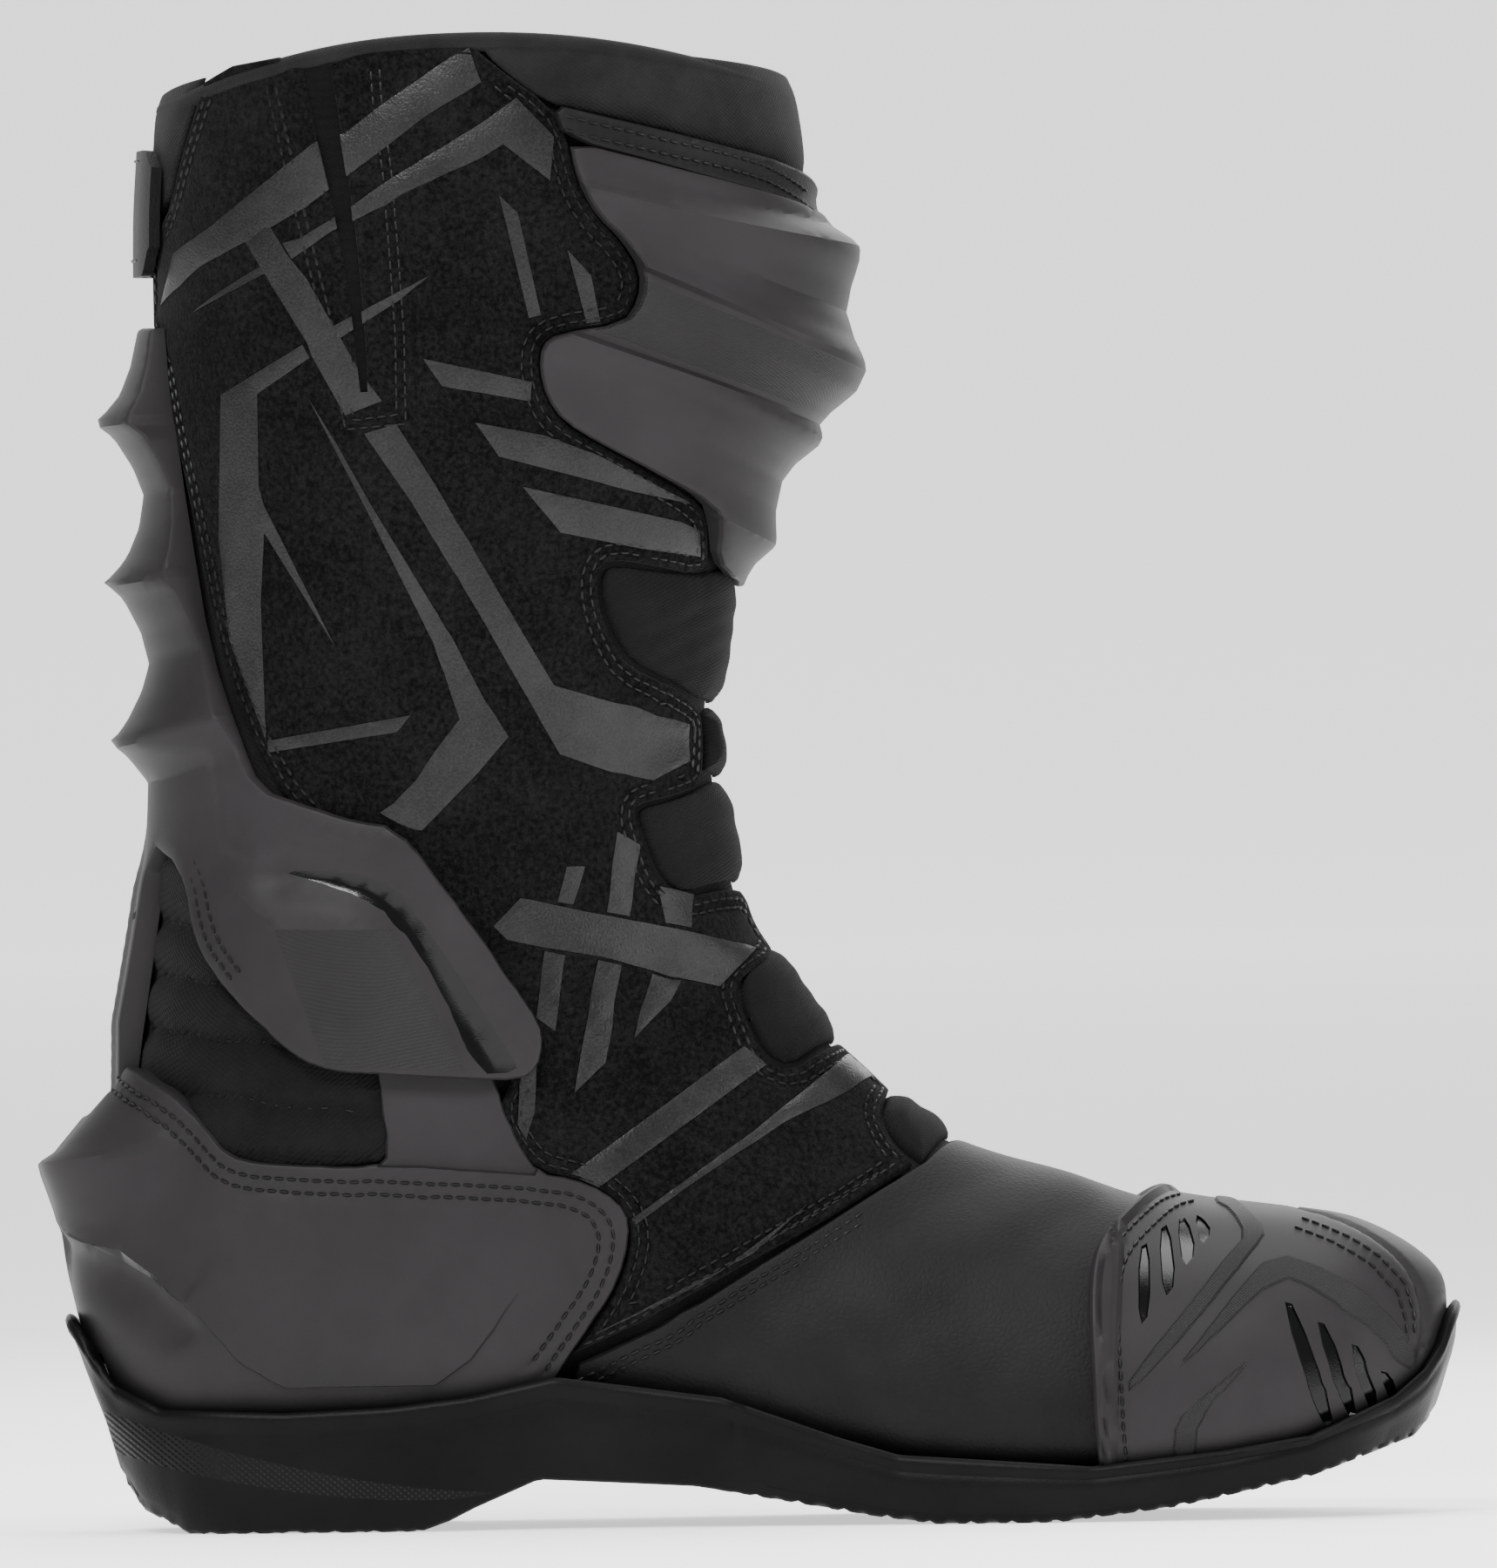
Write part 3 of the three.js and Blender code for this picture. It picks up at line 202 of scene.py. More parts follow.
def table(rows, x):
    rows = sorted(rows)
    return np.interp(x, [r[0] for r in rows], [r[1] for r in rows])


# ---- Outlines ----


def back(z, deg):
    """A point beside the back line, at the height z of the back line."""
    return ("b", z, deg)


def front(z, deg):
    return ("f", z, deg)


BACK_FROM = 16  # the first slice whose back point is on the heel's rear, and not under the foot


def place(points, side=1):
    """Slices and angles of an outline's points: x, z pairs, or marks beside the front or back line."""
    out = np.zeros((len(points), 2))
    plain = [i for i, p in enumerate(points) if not isinstance(p[0], str)]
    if plain:
        out[plain] = find([points[i] for i in plain], side)
    for i, p in enumerate(points):
        if p[0] == "b":
            out[i] = np.interp(p[1], SLICES[BACK_FROM:, 3], np.arange(BACK_FROM, LAST + 1)), PI - rad(p[2])
        if p[0] == "f":
            out[i] = np.interp(p[1], SLICES[:, 1], np.arange(LAST + 1)), rad(p[2])
    return out


def dense(plane, step, closed=False):
    pts = np.vstack([plane, plane[:1]]) if closed else plane
    out = []
    for a, b in zip(pts[:-1], pts[1:]):
        n = max(1, int(math.ceil(np.hypot(*(b - a)) / step)))
        out += [a + (b - a) * k / n for k in range(n)]
    if not closed:
        out.append(pts[-1])
    return np.array(out)


def rounded(points, times=2, closed=False):
    """Chaikin corner cutting, on side-view points."""
    pts = [tuple(p) for p in points]
    for _ in range(times):
        ring = pts + pts[:1] if closed else pts
        new = [] if closed else [pts[0]]
        for a, b in zip(ring[:-1], ring[1:]):
            if isinstance(a[0], str) or isinstance(b[0], str):
                new += [a, b]
                continue
            new.append((0.75 * a[0] + 0.25 * b[0], 0.75 * a[1] + 0.25 * b[1]))
            new.append((0.25 * a[0] + 0.75 * b[0], 0.25 * a[1] + 0.75 * b[1]))
        if not closed:
            new.append(pts[-1])
        pts = [p for i, p in enumerate(new) if i == 0 or p != new[i - 1]]
    return pts


def split(points, step=5.0, closed=False):
    """The same side-view polyline with long straight runs divided."""
    ring = list(points) + [points[0]] if closed else list(points)
    out = [ring[0]]
    for a, b in zip(ring[:-1], ring[1:]):
        if not (isinstance(a[0], str) or isinstance(b[0], str)):
            n = max(1, int(math.hypot(b[0] - a[0], b[1] - a[1]) / step))
            out += [(a[0] + (b[0] - a[0]) * k / n, a[1] + (b[1] - a[1]) * k / n) for k in range(1, n)]
        out.append(b)
    return out[:-1] if closed else out


def outline(points, side=1, toward=None, rounds=1, step=1.6):
    """A closed loop in the drawing plane. toward 0 or pi mirrors an open half outline across that line."""
    pts = split(rounded(points, rounds, closed=toward is None), closed=toward is None)
    sp = place(pts, side)
    if toward is None:
        return dense(to_plane(sp), step, closed=True)
    sp[0, 1] = sp[-1, 1] = toward
    other = sp[1:-1][::-1].copy()
    other[:, 1] = 2 * toward - other[:, 1]
    return dense(to_plane(np.vstack([sp, other])), step, closed=True)


def inside(poly, pts):
    x, y = pts[:, 0], pts[:, 1]
    hit = np.zeros(len(pts), bool)
    for (x0, y0), (x1, y1) in zip(poly, np.roll(poly, -1, axis=0)):
        if y0 == y1:
            continue
        cross = (y0 > y) != (y1 > y)
        hit ^= cross & (x < (x1 - x0) * (y - y0) / (y1 - y0) + x0)
    return hit


def tree_of(points3):
    kd = KDTree(len(points3))
    for i, p in enumerate(points3):
        kd.insert(p, i)
    kd.balance()
    return kd


def distances(kd, points3):
    return np.array([kd.find(p)[2] for p in points3])


# ---- Meshes ----

MM = 0.001


def make(name, verts, faces, mat, uv=None, smooth_angle=35, mats=None, face_mats=None):
    me = bpy.data.meshes.new(name)
    co = (np.asarray(verts, float) + TO_ORIGIN) * MM
    me.from_pydata(co.tolist(), [], [tuple(int(i) for i in f) for f in faces])
    me.validate()
    for m in mats or [mat]:
        me.materials.append(m)
    if face_mats is not None:
        me.polygons.foreach_set("material_index", face_mats)
    if uv is not None:
        layer = me.uv_layers.new(name="UVMap")
        loops = np.zeros(len(me.loops), int)
        me.loops.foreach_get("vertex_index", loops)
        layer.data.foreach_set("uv", (np.asarray(uv)[loops] * 0.01).ravel())
    me.polygons.foreach_set("use_smooth", [True] * len(me.polygons))
    me.set_sharp_from_angle(angle=rad(smooth_angle))
    me.update()
    ob = bpy.data.objects.new(name, me)
    bpy.context.scene.collection.objects.link(ob)
    return ob


def spacing_grid(loop, h):
    lo, hi = loop.min(0), loop.max(0)
    rows = []
    k = 0
    y = lo[1] + h * 0.5
    while y < hi[1]:
        xs = np.arange(lo[0] + (h / 2 if k % 2 else 0), hi[0], h)
        rows.append(np.stack([xs, np.full(len(xs), y)], 1))
        y += h * 0.866
        k += 1
    return np.vstack(rows)


class Panel:
    """A closed piece between two offsets of the base surface, cut to an outline, with relief on its outer face."""

    def __init__(self, loop, h=1.6, lines=(), zones=(), rings=(0.4, 1.0), holes=()):
        self.loop = loop
        lines = list(lines) + [line for depth in rings for line in inset_lines(loop, depth)]
        lines += [np.vstack([hole, hole[:1]]) for hole in holes]
        self.zones = zones
        coords = [tuple(p) for p in loop]
        n = len(coords)
        edges = [(i, (i + 1) % n) for i in range(n)]
        for line in list(lines) + [np.vstack([z, z[:1]]) for z, _, _ in zones]:
            start = len(coords)
            coords += [tuple(p) for p in line]
            edges += [(start + i, start + i + 1) for i in range(len(line) - 1)]
        grid = spacing_grid(loop, h)
        grid = grid[inside(loop, grid)]
        fixed = np.array(coords)
        flat = tree_of([(a, b, 0) for a, b in fixed])
        away = np.array([flat.find((a, b, 0))[2] for a, b in grid]) if len(grid) else np.zeros(0)
        grid = grid[away > 0.55 * h]
        coords += [tuple(p) for p in grid]
        out = delaunay_2d_cdt([Vector(c) for c in coords], edges, [], 0, 1e-5)
        self.uv = np.array([tuple(v) for v in out[0]])
        tris = np.array([f for f in out[2]])
        mid = self.uv[tris].mean(1)
        keep = inside(loop, mid)
        for hole in holes:
            keep &= ~inside(hole, mid)
        self.tris = tris[keep]
        used = np.unique(self.tris)
        remap = -np.ones(len(self.uv), int)
        remap[used] = np.arange(len(used))
        self.uv = self.uv[used]
        self.tris = remap[self.tris]
        self.s, self.phi = from_plane(self.uv)
        self.p = base(self.s, self.phi)
        self.mid = self.uv[self.tris].mean(1)
        s, phi = from_plane(dense(loop, 0.15, closed=True))
        self.edge = distances(tree_of(base(s, phi)), self.p)

    def near(self, line):
        """Distance of every vertex from a line in the drawing plane."""
        s, phi = from_plane(dense(line, 0.25))
        return distances(tree_of(base(s, phi)), self.p)

    def shell(self, top, bottom, edge_round=0.8):
        """Vertices, faces, flat coordinates and the number of outer triangles."""
        drop = edge_round - np.sqrt(np.maximum(0,
            edge_round ** 2 - np.maximum(0, edge_round - self.edge) ** 2))
        outer = surf(self.s, self.phi, top - drop)
        inner = surf(self.s, self.phi, np.broadcast_to(bottom, self.s.shape))
        n = len(self.p)
        tris = self.tris
        a, b, c = (outer[tris[:, k]] for k in range(3))
        facing = (np.cross(b - a, c - a) * normal(self.s[tris[:, 0]], self.phi[tris[:, 0]])).sum(1)
        if facing.sum() < 0:
            tris = tris[:, ::-1]
        faces = [tuple(t) for t in tris] + [tuple(n + t[::-1]) for t in tris]
        count = {}
        for t in tris:
            for i, j in ((0, 1), (1, 2), (2, 0)):
                count[(t[i], t[j])] = True
        rim = [(i, j) for i, j in count if (j, i) not in count]
        faces += [(j, i, n + i, n + j) for i, j in rim]
        return np.vstack([outer, inner]), faces, np.vstack([self.uv, self.uv]), len(tris)

    def build(self, name, mat, top, bottom, edge_round=0.8, mats=None, tip=False, smooth_angle=35):
        verts, faces, uv, count = self.shell(top, bottom, edge_round)
        face_mats = None
        if mats:
            kinds = np.zeros(count, int)
            for poly, _, index in self.zones:
                kinds[inside(poly, self.mid)] = index
            face_mats = list(kinds) + [0] * (len(faces) - count)
        ob = make(name, verts, faces, mat, uv, smooth_angle, mats, face_mats)
        if tip:
            weld(ob)
        return ob


def rim_lines(polys, width):
    """Lines just inside each outline, so that a step in the surface is crisp."""
    return [line for poly in polys for line in inset_lines(poly, width)]


def steps(pan, polys, width):
    """A share from 0 outside the outlines to 1 inside them, over a narrow slope."""
    share = np.zeros(len(pan.p))
    for poly in polys:
        d = distances(tree_of(base(*from_plane(dense(poly, 0.15, closed=True)))), pan.p)
        share = np.maximum(share, np.where(inside(poly, pan.uv), np.minimum(1, d / width), 0))
    return share


def both(items, toward):
    return list(items) + [mirror(item, toward) for item in items]


def inserts(name, loops, mat, level, rise, depth=0.7, edge_round=0.22, h=1.6, rings=(), holes=()):
    """Thin patches of one object that lie on a level over the base surface."""
    verts, faces, uvs = [], [], []
    start = 0
    for loop in loops:
        patch = Panel(loop, h, rings=rings, holes=holes)
        top = level(patch.s, patch.phi, patch.p) + rise
        v, f, uv, _ = patch.shell(top, top - depth, edge_round)
        verts.append(v)
        faces += [tuple(start + i for i in face) for face in f]
        uvs.append(uv)
        start += len(v)
    return make(name, np.vstack(verts), faces, mat, np.vstack(uvs))


def weld(ob, distance=1e-5):
    bm = bmesh.new()
    bm.from_mesh(ob.data)
    bmesh.ops.remove_doubles(bm, verts=bm.verts, dist=distance)
    bm.to_mesh(ob.data)
    bm.free()


def bump_at(d, width):
    return np.maximum(0, 1 - (d / width) ** 2) ** 2


def grid_shell(name, mat, at, rows, cols, outer, inner, around=False):
    """A smooth shell over a rows by cols grid, where at(u, v) gives slices and angles."""
    u, v = np.meshgrid(np.linspace(0, 1, rows + 1), np.linspace(0, 1, cols + 1), indexing="ij")
    if around:
        u, v = u[:, :-1], v[:, :-1]
    s, phi = at(u, v)
    def value(f):
        return f(s, phi) if callable(f) else np.full(s.shape, float(f))

    a = surf(s, phi, value(outer))
    b = surf(s, phi, value(inner))
    count = s.shape[1]
    n = s.size
    idx = np.arange(n).reshape(s.shape)
    faces = []
    for i in range(rows):
        for j in range(cols):
            k = (j + 1) % count
            p, q, r, t = idx[i, j], idx[i, k], idx[i + 1, k], idx[i + 1, j]
            faces += [(p, t, r, q), (n + p, n + q, n + r, n + t)]
    for j in range(cols):
        k = (j + 1) % count
        faces += [(idx[0, j], idx[0, k], n + idx[0, k], n + idx[0, j])]
        faces += [(idx[rows, k], idx[rows, j], n + idx[rows, j], n + idx[rows, k])]
    if not around:
        for i in range(rows):
            faces += [(idx[i + 1, 0], idx[i, 0], n + idx[i, 0], n + idx[i + 1, 0])]
            faces += [(idx[i, cols], idx[i + 1, cols], n + idx[i + 1, cols], n + idx[i, cols])]
    uv = to_plane(np.stack([s.ravel(), phi.ravel()], 1))
    ob = make(name, np.vstack([a.reshape(-1, 3), b.reshape(-1, 3)]), faces, mat, np.vstack([uv, uv]))
    outward(ob)
    return ob


def outward(ob):
    bm = bmesh.new()
    bm.from_mesh(ob.data)
    bmesh.ops.recalc_face_normals(bm, faces=bm.faces)
    bm.to_mesh(ob.data)
    bm.free()


def tube(name, points, radius, mat, sides=10, closed=False, flat=1.0, ups=None):
    pts = np.asarray(points, float)
    n = len(pts)
    ahead = np.roll(pts, -1, 0) if closed else np.vstack([pts[1:], pts[-1:] * 2 - pts[-2:-1]])
    behind = np.roll(pts, 1, 0) if closed else np.vstack([pts[:1] * 2 - pts[1:2], pts[:-1]])
    t = unit(ahead - behind)
    up = np.asarray(ups, float) if ups is not None else np.tile([0.0, 0, 1], (n, 1))
    side = unit(np.cross(t, up))
    up = np.cross(side, t)
    ang = np.linspace(0, 2 * PI, sides, endpoint=False)
    r = np.broadcast_to(radius, (n,))[:, None, None]
    ring = pts[:, None] + r * (np.cos(ang)[None, :, None] * side[:, None] + flat
        * np.sin(ang)[None, :, None] * up[:, None])
    verts = ring.reshape(-1, 3)
    faces = []
    for i in range(n if closed else n - 1):
        k = (i + 1) % n
        for j in range(sides):
            m = (j + 1) % sides
            faces.append((i * sides + j, k * sides + j, k * sides + m, i * sides + m))
    if not closed:
        faces += [tuple(range(sides))[::-1], tuple((n - 1) * sides + j for j in range(sides))]
    lengths = np.concatenate([[0], np.cumsum(np.linalg.norm(np.diff(pts, axis=0), axis=1))])
    uv = np.stack([np.tile(ang * 3, n), np.repeat(lengths, sides)], 1)
    ob = make(name, verts, faces, mat, uv)
    outward(ob)
    return ob


# One stitch: a short rounded thread, six sided
STITCH_RINGS = [(-0.5, 0.0), (-0.42, 0.62), (-0.2, 1.0), (0.2, 1.0), (0.42, 0.62), (0.5, 0.0)]


def stitches(name, lines, offset, mat, length=2.15, pitch=2.75, radius=0.36):
    """Threads along lines of the drawing plane, at an offset from the base surface."""
    verts, faces = [], []
    for line in lines:
        if len(line) < 2:
            continue
        s, phi = from_plane(dense(line, 0.4))
        p = surf(s, phi, offset(s, phi) if callable(offset) else np.full(len(s), float(offset)))
        nor = normal(s, phi)
        run = np.concatenate([[0], np.cumsum(np.linalg.norm(np.diff(p, axis=0), axis=1))])
        for k in range(int(run[-1] / pitch)):
            mid = (k + 0.5) * pitch
            at = np.array([np.interp(mid, run, p[:, c]) for c in range(3)])
            on = np.array([np.interp(min(mid + 0.8, run[-1]), run, p[:, c]) for c in range(3)])
            off = np.array([np.interp(max(mid - 0.8, 0), run, p[:, c]) for c in range(3)])
            up = np.array([np.interp(mid, run, nor[:, c]) for c in range(3)])
            t = unit(on - off)
            side = unit(np.cross(t, up))
            start = len(verts)
            for r_at, r_wide in STITCH_RINGS:
                centre = at + t * r_at * length
                if r_wide == 0:
                    verts.append(centre - up * 0.25)
                    continue
                for j in range(6):
                    a = j * PI / 3
                    verts.append(centre + radius * r_wide * (math.cos(a) * side + math.sin(a) * up))
            first, last = start, start + 25
            for j in range(6):
                m = (j + 1) % 6
                faces.append((first, start + 1 + m, start + 1 + j))
                faces.append((last, start + 19 + j, start + 19 + m))
                for ring in range(3):
                    o = start + 1 + ring * 6
                    faces.append((o + j, o + m, o + 6 + m, o + 6 + j))
    if not faces:
        return None
    ob = make(name, verts, faces, mat)
    outward(ob)
    return ob


def clipped(lines, keep):
    """The stretches of drawing-plane lines that keep allows."""
    out = []
    for line in lines:
        fine = dense(line, 1.0)
        good = keep(base(*from_plane(fine)))
        cuts = np.nonzero(np.diff(good.astype(int)))[0] + 1
        starts = np.concatenate([[0], cuts])
        out += [part for part, k in zip(np.split(fine, cuts), starts) if good[k] and len(part) > 3]
    return out


def inset_lines(loop, depth, keep=None):
    """Lines that run inside a loop of the drawing plane, depth millimetres from its edge, where keep allows."""
    fine = dense(loop, 0.8, closed=True)
    s, phi = from_plane(fine)
    p = base(s, phi)
    t = unit(np.roll(p, -1, 0) - np.roll(p, 1, 0))
    n = normal(s, phi)
    way = np.cross(n, t)
    step = 0.02
    du = (base(s, phi + step) - base(s, phi - step)) / (2 * step * AROUND)
    s2, p2 = from_plane(fine + [0, 0.2])
    s1, p1 = from_plane(fine - [0, 0.2])
    dv = (base(s2, p2) - base(s1, p1)) / 0.4
    uu, vv, uvd = (du * du).sum(1), (dv * dv).sum(1), (du * dv).sum(1)
    det = np.maximum(uu * vv - uvd ** 2, 1e-6)

    def shift(sign):
        w = way * depth * sign
        a, b = (w * du).sum(1), (w * dv).sum(1)
        return fine + np.stack([(a * vv - b * uvd) / det, (b * uu - a * uvd) / det], 1)

    trial = shift(1)
    moved = trial if inside(loop, trial).mean() > 0.5 else shift(-1)
    s, phi = from_plane(moved)
    kd = tree_of(p)
    good = (distances(kd, base(s, phi)) > depth * 0.93) & inside(loop, moved)
    if keep is not None:
        good &= keep(p)
    lines, run = [], []
    order = list(range(len(moved)))
    first_bad = next((i for i in order if not good[i]), 0)
    for i in order[first_bad:] + order[:first_bad]:
        if good[i] and (not run or np.hypot(*(moved[i] - run[-1])) < 4):
            run.append(moved[i])
        else:
            if len(run) > 4:
                lines.append(np.array(run))
            run = [moved[i]] if good[i] else []
    if len(run) > 4:
        lines.append(np.array(run))
    return lines


# ---- Materials ----


def new_material(name, color, roughness, **sockets):
    m = bpy.data.materials.new(name)
    m.use_nodes = True
    bsdf = m.node_tree.nodes["Principled BSDF"]
    bsdf.inputs["Base Color"].default_value = (*color, 1)
    bsdf.inputs["Roughness"].default_value = roughness
    for key, value in sockets.items():
        bsdf.inputs[key.replace("_", " ")].default_value = value
    return m, m.node_tree, bsdf


def node(tree, kind, **props):
    n = tree.nodes.new(kind)
    for k, v in props.items():
        if k in n.inputs:
            n.inputs[k].default_value = v
        else:
            setattr(n, k, v)
    return n


def noise(tree, vector, scale, detail=4.0, rough=0.6):
    n = node(tree, "ShaderNodeTexNoise", Scale=scale, Detail=detail, Roughness=rough)
    tree.links.new(vector, n.inputs["Vector"])
    return n.outputs["Fac"]


def mixed(tree, fac, dark, light, lo=0.35, hi=0.65):
    ramp = node(tree, "ShaderNodeValToRGB")
    ramp.color_ramp.elements[0].position = lo
    ramp.color_ramp.elements[0].color = (*dark, 1)
    ramp.color_ramp.elements[1].position = hi
    ramp.color_ramp.elements[1].color = (*light, 1)
    tree.links.new(fac, ramp.inputs["Fac"])
    return ramp.outputs["Color"]


def math_node(tree, op, a, b=0.0, c=None):
    n = node(tree, "ShaderNodeMath", operation=op)
    for i, v in enumerate((a, b) if c is None else (a, b, c)):
        if isinstance(v, (int, float)):
            n.inputs[i].default_value = v
        else:
            tree.links.new(v, n.inputs[i])
    return n.outputs[0]


def bump(tree, bsdf, height, strength, distance):
    b = node(tree, "ShaderNodeBump", Strength=strength, Distance=distance)
    tree.links.new(height, b.inputs["Height"])
    tree.links.new(b.outputs["Normal"], bsdf.inputs["Normal"])
    return b


def coords(tree):
    return node(tree, "ShaderNodeTexCoord").outputs["Object"]


def plane_mm(tree):
    """The drawing plane's two coordinates in millimetres, from the UV map."""
    uv = node(tree, "ShaderNodeUVMap", uv_map="UVMap")
    split = node(tree, "ShaderNodeSeparateXYZ")
    tree.links.new(uv.outputs["UV"], split.inputs["Vector"])
    return math_node(tree, "MULTIPLY", split.outputs[0], 100.0), math_node(tree, "MULTIPLY",
        split.outputs[1], 100.0)


def wave(tree, value, pitch):
    return math_node(tree, "SINE", math_node(tree, "MULTIPLY", value, 2 * PI / pitch))


def link_color(tree, bsdf, color):
    tree.links.new(color, bsdf.inputs["Base Color"])


def suede():
    m, t, b = new_material("suede_nap", (0.012, 0.012, 0.013), 0.93, Sheen_Weight=0.05, Sheen_Roughness=0.4)
    b.inputs["Sheen Tint"].default_value = (0.45, 0.45, 0.48, 1)
    b.inputs["Specular IOR Level"].default_value = 0.05
    o = coords(t)
    cloud, nap, fibre = noise(t, o, 45, 5), noise(t, o, 900, 3, 0.7), noise(t, o, 2600, 2, 0.6)
    both = math_node(t, "ADD", math_node(t, "MULTIPLY", cloud, 0.3), math_node(t, "MULTIPLY", nap, 0.7))
    link_color(t, b, mixed(t, both, (0.0011, 0.0011, 0.0012), (0.0085, 0.0085, 0.0088), 0.4, 0.68))
    height = math_node(t, "ADD", nap, math_node(t, "MULTIPLY", fibre, 0.6))
    bump(t, b, height, 0.8, 0.0005)
    return m


def printed():
    m, t, b = new_material("rubber_print", (0.05, 0.05, 0.053), 0.36, Specular_IOR_Level=0.22)
    o = coords(t)
    speck, grain = noise(t, o, 1900, 2, 0.5), noise(t, o, 320, 4)
    # Colour: the print's own fine speckle, mixed with broad lighter patches that are painted sheen.
    speck_and_painted_sheen = math_node(t, "ADD", math_node(t, "MULTIPLY", speck, 0.45),
        math_node(t, "MULTIPLY", noise(t, o, 38, 3), 0.55))
    link_color(t, b, mixed(t, speck_and_painted_sheen, (0.0022, 0.0021, 0.0022), (0.0165, 0.016, 0.0165), 0.4, 0.72))
    rough = node(t, "ShaderNodeMapRange")
    t.links.new(grain, rough.inputs["Value"])
    rough.inputs["To Min"].default_value = 0.28
    rough.inputs["To Max"].default_value = 0.5
    t.links.new(rough.outputs["Result"], b.inputs["Roughness"])
    bump(t, b, speck, 0.5, 0.00025)
    return m


def moulded(name, color, rough=0.5, grid=0.0, coat=0.0, shine=0.16):
    m, t, b = new_material(name, color, rough, Coat_Weight=coat, Coat_Roughness=0.12,
        Specular_IOR_Level=shine)
    o = coords(t)
    broad, fine = noise(t, o, 28, 4), noise(t, o, 3200, 2)
    lo = tuple(c * 0.82 for c in color)
    hi = tuple(c * 1.2 for c in color)
    link_color(t, b, mixed(t, broad, lo, hi, 0.3, 0.7))
    vary = node(t, "ShaderNodeMapRange")
    t.links.new(broad, vary.inputs["Value"])
    vary.inputs["To Min"].default_value = max(0.05, rough - 0.07)
    vary.inputs["To Max"].default_value = rough + 0.07
    t.links.new(vary.outputs["Result"], b.inputs["Roughness"])
    if grid:
        u, v = plane_mm(t)
        p, q = math_node(t, "ADD", u, v), math_node(t, "SUBTRACT", u, v)
        cells = math_node(t, "ADD", math_node(t, "ABSOLUTE", wave(t, p, grid)),
            math_node(t, "ABSOLUTE", wave(t, q, grid)))
        bump(t, b, math_node(t, "ADD", cells, math_node(t, "MULTIPLY", fine, 0.2)), 0.4, 0.0003)
    else:
        bump(t, b, fine, 0.25, 0.00015)
    return m


def grained(name, color, rough=0.55, scale=700.0):
    m, t, b = new_material(name, color, rough, Specular_IOR_Level=0.11)
    o = coords(t)
    cell = node(t, "ShaderNodeTexVoronoi", feature="DISTANCE_TO_EDGE", Scale=scale)
    t.links.new(o, cell.inputs["Vector"])
    crack = math_node(t, "MINIMUM", math_node(t, "MULTIPLY", cell.outputs["Distance"], 4.0), 1.0)
    broad, fine = noise(t, o, 50, 5), noise(t, o, 2400, 2)
    link_color(t, b, mixed(t, broad, tuple(c * 0.75 for c in color), tuple(c * 1.25 for c in color)))
    bump(t, b, math_node(t, "ADD", crack, math_node(t, "MULTIPLY", fine, 0.35)), 0.22, 0.0002)
    return m


def knitted(name, color, pitch=1.1, rough=0.85, ribs=0.0, sheen=0.25):
    m, t, b = new_material(name, color, rough, Sheen_Weight=sheen, Sheen_Roughness=0.5)
    b.inputs["Specular IOR Level"].default_value = 0.08
    u, v = plane_mm(t)
    o = coords(t)
    broad, fuzz = noise(t, o, 60, 4), noise(t, o, 2200, 2)
    weave = math_node(t, "MULTIPLY", wave(t, u, pitch), wave(t, v, pitch))
    if ribs:
        weave = math_node(t, "ADD", weave,
            math_node(t, "MULTIPLY", math_node(t, "ABSOLUTE", wave(t, v, ribs)), 2.5))
    link_color(t, b, mixed(t, broad, tuple(c * 0.7 for c in color), tuple(c * 1.3 for c in color)))
    bump(t, b, math_node(t, "ADD", weave, fuzz), 0.4, 0.00025)
    return m


def rubber():
    """Sole rubber, with a band of fine moulded grid that sweeps down each side of the heel."""
    m, t, b = new_material("sole_rubber", (0.014, 0.014, 0.015), 0.42, Specular_IOR_Level=0.07)
    o = coords(t)
    broad, fine = noise(t, o, 40, 5), noise(t, o, 1800, 3)
    split = node(t, "ShaderNodeSeparateXYZ")
    t.links.new(o, split.inputs["Vector"])
    x, z = split.outputs[0], split.outputs[2]
    run = math_node(t, "DIVIDE", math_node(t, "SUBTRACT", -0.056, x), 0.084)
    run = math_node(t, "MAXIMUM", run, 0.0)
    top = math_node(t, "ADD", math_node(t, "MULTIPLY", math_node(t, "POWER", run, 1.7), 0.018), 0.0085)
    wide = math_node(t, "MULTIPLY", math_node(t, "POWER", run, 0.7), 0.0085)
    under = math_node(t, "LESS_THAN", z, top)
    over = math_node(t, "GREATER_THAN", z, math_node(t, "SUBTRACT", top, wide))
    band = math_node(t, "MULTIPLY", math_node(t, "MULTIPLY", under, over),
        math_node(t, "GREATER_THAN", run, 0.01))
    cells = math_node(t, "MULTIPLY", wave(t, x, 0.0016), wave(t, z, 0.0013))
    tone = math_node(t, "ADD", broad, math_node(t, "MULTIPLY", band, 0.5))
    link_color(t, b, mixed(t, tone, (0.0018, 0.0018, 0.0019), (0.0052, 0.0052, 0.0055), 0.3, 1.1))
    grid = math_node(t, "MULTIPLY", math_node(t, "MULTIPLY", cells, band), 1.6)
    bump(t, b, math_node(t, "ADD", math_node(t, "MULTIPLY", fine, 0.5), math_node(t, "ADD", grid, band)),
        0.5, 0.0003)
    return m


def plain(name, color, rough, metal=0.0, scale=900.0, shine=0.5):
    m, t, b = new_material(name, color, rough, Metallic=metal, Specular_IOR_Level=shine)
    fine = noise(t, coords(t), scale, 3)
    link_color(t, b, mixed(t, fine, tuple(c * 0.85 for c in color), tuple(c * 1.15 for c in color)))
    bump(t, b, fine, 0.15, 0.0001)
    return m


